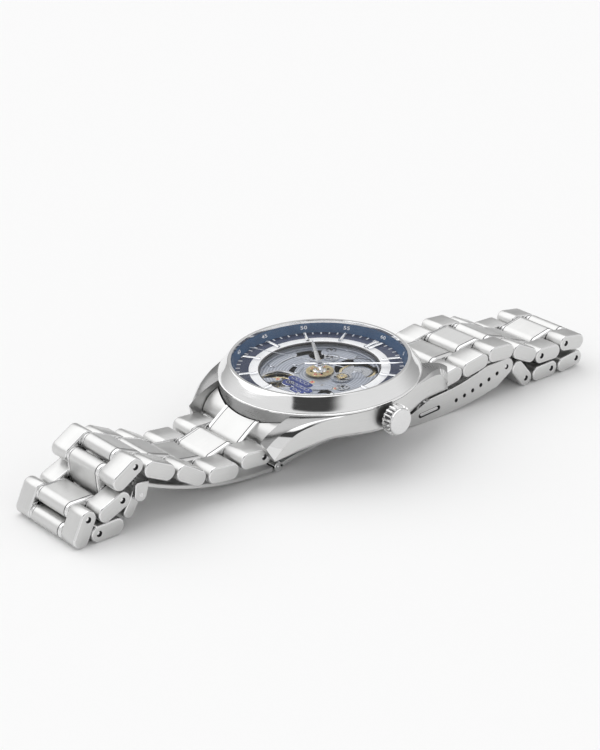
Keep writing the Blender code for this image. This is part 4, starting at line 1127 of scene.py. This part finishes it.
def make_emblem():
    """A plain blue badge of rounded bars and a disc, edged in steel, with no lettering."""
    x, y = EMBLEM_PLACE

    def capsule(cx, cy, half_length, radius):
        right = arc((cx + half_length, cy), radius, -90, 90, 10)
        return right + arc((cx - half_length, cy), radius, 90, 270, 10)

    bars = ((x - 1.0, y + 1.6, 2.5, 0.82), (x + 0.5, y - 0.1, 2.9, 0.82), (x - 2.2, y - 0.4, 0.35, 1.15),
            (x + 1.7, y - 1.7, 1.2, 0.66))
    bm = bmesh.new()
    for cx, cy, half_length, radius in bars:
        plate(bm, capsule(cx, cy, half_length, radius + 0.13), -2.75, -2.6, 0.05, 1, 1)
        plate(bm, capsule(cx, cy, half_length, radius), -2.7, -2.5, 0.06)
    make_piece("badge", bm, (EMBLEM, EMBLEM_EDGE), "emblem_plate", weld=False)
    bm = bmesh.new()
    for cx, cy, half_length, radius in bars:
        count = max(1, round(half_length * 1.7))
        for k in range(count):
            middle = cx + (k + 0.5) * 2.0 * half_length / count - half_length
            outline = capsule(middle, cy, half_length / count * 0.35, radius * 0.5)
            inner = capsule(middle, cy, half_length / count * 0.35, radius * 0.5 - 0.14)
            levels = ((outline, -2.52), (outline, -2.47), (inner, -2.47), (inner, -2.52), (outline, -2.52))
            loft(bm, [[(*point, level) for point in points] for points, level in levels])
    make_piece("badge_inlay", bm, (EMBLEM_EDGE,), weld=False)


def make_back():
    """Screwed back with key slots and a window over the winding weight."""
    bm = bmesh.new()
    profile = [(18.6, -7.3), (18.6, -7.75), (18.45, -7.95), (16.9, -9.28), (16.6, -9.4), (14.2, -9.4),
               (13.9, -9.25), (13.8, -8.7), (13.8, -8.3), (15.0, -8.3), (15.0, -7.3)]
    revolve(bm, profile, 192)
    ring = make_piece("back_ring", bm, (BEZEL_STEEL,), "caseback", sharp=28.0)
    # the key slots' walls are painted dark as shade by the cutters' steel
    carve(ring, [disc_cutter(*polar(17.9, 60.0 * k + 15.0), 0.75, -12.0, -8.35, 24) for k in range(6)])
    ring.data.set_sharp_from_angle(angle=radians(28.0))
    profile = [(0.0, -8.62), (13.75, -8.62), (13.75, -9.1), (13.6, -9.2), (0.0, -9.2)]
    make_piece("back_window", drawn(revolve, profile, 128, closed=False), (GLASS,))

    bm = bmesh.new()
    rim = arc((0.0, 0.0), 12.9, 180, 360, 48)
    outline = rim + [(12.9, 0.9), (9.0, 1.6)] + arc((0.0, 0.0), 2.6, 38, 142, 16)
    outline += [(-9.0, 1.6), (-12.9, 0.9)]
    plate(bm, outline, -7.7, -6.8, 0.12)
    weight = make_piece("winding_weight", bm, (RHODIUM,), "rotor", body="rotor")
    # the walls of the hole and windows are painted dark as shade by the cutters' steel
    carve(weight, [disc_cutter(0.0, 0.0, 1.0), window_cutter(4.6, 9.2, 200, 250),
                   window_cutter(4.6, 9.2, 290, 340)])
    soften(weight, 0.08)
    profile = [(1.06, -6.85), (2.0, -6.85), (2.0, -7.85), (1.9, -7.95), (1.16, -7.95), (1.06, -7.85)]
    make_piece("rotor_bearing", drawn(revolve, profile, 64), (SCREW,), body="rotor")
    make_piece("rotor_stud", drawn(cylinder, (0.0, 0.0), 0.9, -8.1, -6.2, 0.06, 40), (SCREW,))


def make_crown():
    """Fluted crown with a plain domed end, on its stem; its neck by the case, its flute valleys and the
    groove near its end are painted dark as shade.
    """
    space = HEAD @ Matrix.Translation((0.0, 0.0, CROWN_HEIGHT * MM))
    bm = bmesh.new()
    flutes, steps = 20, 12

    def ring(x, outer, depth):
        points = []
        for k in range(flutes * steps):
            angle = tau * k / (flutes * steps)
            wave = cos(tau * (k % steps) / steps)
            reach = outer - depth * max(0.0, min(1.0, 0.5 - 0.95 * wave))
            points.append((x, reach * cos(angle), reach * sin(angle)))
        return points

    stations = [(21.35, 2.1, 0.0), (21.4, 2.3, 0.0), (21.62, 2.35, 0.0), (21.68, 2.85, 0.14),
                (21.85, 3.1, 0.55), (22.6, 3.1, 0.6), (23.35, 3.1, 0.55), (23.55, 2.9, 0.2),
                (23.62, 2.7, 0.0), (23.68, 2.66, 0.0), (23.72, 2.72, 0.0), (24.02, 2.66, 0.0),
                (24.14, 2.5, 0.0), (24.18, 2.1, 0.0), (24.2, 1.0, 0.0)]
    steel, dark = 0, 1
    # dark bands are the neck and the end groove, painted dark as shade
    bands = [dark, dark, dark, steel, steel, steel, steel, steel, dark, dark, steel, steel, steel, steel]
    loft(bm, [ring(*station) for station in stations], bands, dark, steel)
    # the flute valleys are painted dark as shade
    for face in bm.faces:
        middle = face.calc_center_median()
        if 21.7 < middle.x < 23.6 and hypot(middle.y, middle.z) < 2.62:
            face.material_index = dark
    make_piece("crown_cap", bm, (CROWN_STEEL, PAINTED_SHADE_STEEL), "crown", body="crown",
               space=space, sharp=30.0)
    make_piece("stem_rod", drawn(cylinder, (0.0, 0.0), 0.55, 13.8, 21.6, 0.05, 24, axis="X"), (BRUSHED,),
               "winding_stem", body="winding_stem", space=space)


# ---------------------------------------------------------------- clasp

def side_span(sign, near, far):
    """The X range between two distances from the middle, on one side."""
    return sorted((sign * near, sign * far))


def slot_outline(start, end, radius):
    """A slot from one (y, z) point to another."""
    return arc(start, radius, 90, 270, 10) + arc(end, radius, -90, 90, 10)


def cover_bottom(y):
    """Height of the cover's outer face above the table."""
    return WRIST_RADIUS - sqrt(WRIST_RADIUS ** 2 - (y - COVER_LOW_Y) ** 2)


def make_cover():
    """Clasp cover: a wall at each side with its holes and slot, their walls painted dark as shade, and the
    curved floor between them.
    """
    low_run = [(15.0 + 1.5 * k, cover_bottom(15.0 + 1.5 * k)) for k in range(19)]
    top_run = [(38.9, 7.95), (37.0, 7.4), (34.5, 6.72), (31.4, 6.0), (28.5, 5.55), (24.8, 5.24), (22.6, 5.05),
               (21.3, 4.72), (20.4, 4.3), (17.2, 3.05)]
    nose = arc(COVER_HINGE, 1.25, 75, 255, 12)
    outline = low_run + arc(COVER_PIN, 1.98, -62, 108, 14) + top_run + nose
    for sign, tag in ((1.0, "crown_side"), (-1.0, "plain_side")):
        bm = bmesh.new()
        plate(bm, outline, *side_span(sign, WALL_INNER, CLASP_HALF_WIDTH), 0.1, 1, axis="X")
        wall = make_piece(f"cover_wall_{tag}", bm, (BRUSHED_CLASP, POLISHED, PAINTED_SHADE_STEEL),
                          "clasp_cover" if sign > 0 else None, body="clasp_cover",
                          space=TABLE)
        cutters = []
        for hole in range(6):
            y = 29.8 + 2.38 * hole
            spot = (y, cover_bottom(y) + 2.3 + 0.18 * hole)
            cutters.append(drawn(cylinder, spot, 0.46, -12.0, 12.0, 0.01, 28, axis="X"))
        cutters.append(drawn(cylinder, COVER_PIN, 0.55, *side_span(sign, 9.2, 12.0), 0.01, 28, axis="X"))
        slot = slot_outline((19.6, 2.0), (24.6, 2.35), 0.55)
        cutters.append(drawn(plate, slot, -12.0, 12.0, 0.01, axis="X"))
        # the cut walls of the holes and slot are painted dark as shade
        carve(wall, cutters)
        wall.data.set_sharp_from_angle(angle=radians(30.0))
    bm = bmesh.new()
    loops = []
    for k in range(20):
        y = 15.2 + 1.42 * k
        corners = ((-8.7, 0.02), (8.7, 0.02), (8.7, 0.9), (-8.7, 0.9))
        loops.append([(x, y, cover_bottom(y) + thick) for x, thick in corners])
    loft(bm, loops, 0, 1, 1)
    for hinge in (COVER_HINGE, COVER_PIN):
        cylinder(bm, hinge, 0.48, -9.1, 9.1, 0.05, 24, 1, 1, axis="X")
    for sign in (1.0, -1.0):
        cylinder(bm, COVER_PIN, 0.42, *side_span(sign, 9.1, 9.35), 0.08, 24, 1, 1, axis="X")
    make_piece("cover_floor", bm, (BRUSHED_CLASP, POLISHED), body="clasp_cover",
               space=TABLE, weld=False)


def make_pushers():
    """Side buttons that open the clasp."""
    for sign, node in ((1.0, "pusher_3"), (-1.0, "pusher_9")):
        bm = bmesh.new()
        plate(bm, slot_outline((19.95, 2.02), (24.3, 2.33), 0.36), *side_span(sign, 7.9, 9.5), 0.08, axis="X")
        foot = [(18.6, 1.25), (25.6, 1.55), (25.6, 3.3), (18.6, 3.0)]
        plate(bm, foot, *side_span(sign, 7.6, 8.48), 0.08, axis="X")
        make_piece(f"{node}_bar", bm, (POLISHED,), node, body=node, space=TABLE, weld=False)


def add_blade(bm, start, end, bulge):
    """A curved strip with polished edges and brushed faces."""
    (y0, z0), (y1, z1) = start, end
    chord = hypot(y1 - y0, z1 - z0)
    normal = ((z0 - z1) / chord, (y1 - y0) / chord)
    edge, half, steps = 0.16, 0.45, 28
    slope = copysign(edge, normal[1])
    narrow = BLADE_HALF_WIDTH - edge
    loops = []
    for k in range(steps + 1):
        share = k / steps
        lift = bulge * 4.0 * share * (1.0 - share)
        y, z = y0 + (y1 - y0) * share + normal[0] * lift, z0 + (z1 - z0) * share + normal[1] * lift
        top = (y + normal[0] * half, z + normal[1] * half)
        low = (y - normal[0] * half, z - normal[1] * half)
        under_top, over_low = (top[0], top[1] - slope), (low[0], low[1] + slope)
        loops.append([(-narrow, *top), (narrow, *top), (BLADE_HALF_WIDTH, *under_top),
                      (BLADE_HALF_WIDTH, *over_low), (narrow, *low), (-narrow, *low),
                      (-BLADE_HALF_WIDTH, *over_low), (-BLADE_HALF_WIDTH, *under_top)])
    loft(bm, loops, 0, 1, 1)


def make_blades():
    """The two folding blades, their knuckles and the bracket that holds the bracelet's last row."""
    bm = bmesh.new()
    add_blade(bm, COVER_HINGE, MIDDLE_HINGE, -1.9)
    piece = make_piece("blade_outer_strip", bm, (BRUSHED_CLASP, POLISHED), "blade_outer",
                       body="blade_outer", space=TABLE)
    y, z = MIDDLE_HINGE
    notch = [(y - 3, z - 4), (y + 1.6, z - 4), (y + 1.6, z + 4), (y - 3, z + 4)]
    # the notch's cut walls are painted dark as shade
    carve(piece, [drawn(plate, notch, -KNUCKLE_GAP, KNUCKLE_GAP, 0.01, axis="X")])
    bm = bmesh.new()
    cylinder(bm, COVER_HINGE, 1.1, -BLADE_HALF_WIDTH, BLADE_HALF_WIDTH, 0.1, 40, axis="X")
    for sign in (1.0, -1.0):
        cylinder(bm, MIDDLE_HINGE, 1.1, *side_span(sign, KNUCKLE_GAP, BLADE_HALF_WIDTH), 0.1, 40, axis="X")
    cylinder(bm, MIDDLE_HINGE, 0.5, -8.35, 8.35, 0.12, 24, axis="X")
    make_piece("blade_outer_knuckles", bm, (POLISHED,), body="blade_outer", space=TABLE,
               weld=False)

    pin_y, pin_z = BRACKET_PIN
    bm = bmesh.new()
    add_blade(bm, MIDDLE_HINGE, (pin_y - 0.6, pin_z + 2.25), 2.3)
    blade = make_piece("blade_inner_strip", bm, (BRUSHED_CLASP, POLISHED), "blade_inner",
                       body="blade_inner", space=TABLE)
    notch = [(y - 1.7, z - 4), (y + 3, z - 4), (y + 3, z + 4), (y - 1.7, z + 4)]
    # the notches' cut walls are painted dark as shade
    carve(blade, [drawn(plate, notch, *side_span(sign, CENTRE_HALF_WIDTH, 12.0), 0.01, axis="X")
                  for sign in (1.0, -1.0)])
    bm = bmesh.new()
    cylinder(bm, MIDDLE_HINGE, 1.1, -CENTRE_HALF_WIDTH, CENTRE_HALF_WIDTH, 0.1, 40, 1, 1, axis="X")
    ear = [(pin_y + 1.9, pin_z + 2.3), (pin_y + 0.6, pin_z + 2.5), (pin_y - 0.7, pin_z + 2.6),
           (pin_y - 1.2, pin_z + 2.3)] + arc(BRACKET_PIN, 1.38, 165, 360, 20) + [(pin_y + 1.8, pin_z + 1.4)]
    for sign in (1.0, -1.0):
        plate(bm, ear, *side_span(sign, WALL_INNER, CLASP_HALF_WIDTH), 0.16, 1, axis="X")
        cylinder(bm, BRACKET_PIN, 0.45, *side_span(sign, 9.5, 9.66), 0.05, 24, 1, 1, axis="X")
    top = [(pin_y - 0.9, pin_z + 1.75), (pin_y + 1.4, pin_z + 1.55), (pin_y + 1.4, pin_z + 2.2),
           (pin_y - 0.9, pin_z + 2.5)]
    plate(bm, top, -9.3, 9.3, 0.06, 1, 1, axis="X")
    make_piece("bracket", bm, (BRUSHED_CLASP, POLISHED), body="blade_inner",
               space=TABLE, weld=False)


# ---------------------------------------------------------------- studio

def make_floor():
    """Pale plain floor."""
    bm = bmesh.new()
    bmesh.ops.create_grid(bm, x_segments=1, y_segments=1, size=6.0)
    mesh = bpy.data.meshes.new("floor")
    bm.to_mesh(mesh)
    bm.free()
    made = new_material("floor_paper")
    cloud = made.noise(made.coordinates((3.0,) * 3), 2.0, 0.5)
    mesh.materials.append(made.shade(Base_Color=made.mix_colours(cloud, (0.93,) * 3, (0.935,) * 3),
                                     Roughness=0.9, Specular_IOR_Level=0.0))
    floor = add_object("floor", mesh)
    floor.location.z = CAD_BOX[0].z - FLOOR_GAP * MM


def direction(azimuth, elevation):
    """The unit vector towards a camera at this angle."""
    a, e = radians(azimuth), radians(elevation)
    return Vector((sin(a) * cos(e), -cos(a) * cos(e), sin(e)))


def make_sun():
    """One wide soft lamp from the upper left, which gives the even floor and the soft shadows."""
    data = bpy.data.lights.new("soft_lamp", "SUN")
    data.energy = SUN_STRENGTH
    data.angle = radians(SUN_ANGLE)
    lamp = add_object("soft_lamp", data)
    lamp.rotation_mode = "QUATERNION"
    towards_lamp = direction(CAMERA_AZIMUTH + SUN_AZIMUTH, SUN_ELEVATION)
    lamp.rotation_quaternion = (-towards_lamp).to_track_quat("-Z", "Y")


def make_world():
    """White studio walls, darker near the far horizon, with one dark gap between the front soft boxes."""
    made = Nodes(bpy.data.worlds.new("studio"))
    bpy.context.scene.world = made.owner
    place = made.add("ShaderNodeTexCoord").outputs["Generated"]

    def dot(vector):
        node = made.add("ShaderNodeVectorMath", operation="DOT_PRODUCT")
        made.put(place, node.inputs[0])
        made.put(tuple(vector), node.inputs[1])
        return node.outputs["Value"]

    def smooth(value, low, high, start=0.0, end=1.0):
        return made.ramp(value, low, high, start, end, "SMOOTHSTEP")

    up = dot((0.0, 0.0, 1.0))
    front = dot(direction(CAMERA_AZIMUTH - 6.0, 0.0))
    across = dot(direction(CAMERA_AZIMUTH + 84.0, 0.0))
    shade = made.add("ShaderNodeMix")
    made.put(smooth(up, 0.25, 0.75, 1.0, 0.0), shade.inputs["Factor"])
    made.put(1.0, shade.inputs["A"])
    made.put(smooth(front, -0.97, -0.2, 0.44, 1.0), shade.inputs["B"])
    gap = smooth(front, 0.05, 0.2)
    for edge in (smooth(up, 0.56, 0.66), smooth(up, 0.90, 0.97, 1.0, 0.0), smooth(across, -0.42, -0.36),
                 smooth(across, 0.12, 0.50, 1.0, 0.0)):
        gap = made.math("MULTIPLY", gap, edge)
    light = made.math("MULTIPLY", shade.outputs["Result"], smooth(gap, 0.0, 1.0, 1.0, 0.07))
    background = made.tree.nodes["Background"]
    made.put(light, background.inputs["Color"])
    made.put(WORLD_STRENGTH, background.inputs["Strength"])


def make_studio():
    """Floor, lights, walls and camera."""
    make_floor()
    make_world()
    make_sun()
    data = bpy.data.cameras.new("camera")
    data.sensor_fit = "AUTO"
    data.sensor_width = CAMERA_SENSOR
    data.lens = CAMERA_LENS
    data.clip_start, data.clip_end = 0.01, 20.0
    back = direction(CAMERA_AZIMUTH, CAMERA_ELEVATION)
    right = Vector((cos(radians(CAMERA_AZIMUTH)), sin(radians(CAMERA_AZIMUTH)), 0.0))
    upright = space_of(DIAL_CENTRE + Vector(CAMERA_PLACE) * MM, right, back.cross(right))
    camera = add_object("camera", data, upright @ Matrix.Rotation(radians(CAMERA_ROLL), 4, "Z"))
    bpy.context.scene.camera = camera
    bpy.context.scene.view_settings.view_transform = "Standard"


make_bracelet()
make_end_link("end_link_6", -1.0)
make_end_link("end_link_12", 1.0)
make_case()
make_bezel()
make_dial()
make_hands()
make_movement()
make_emblem()
make_back()
make_crown()
make_cover()
make_pushers()
make_blades()
make_studio()

bpy.context.view_layer.update()
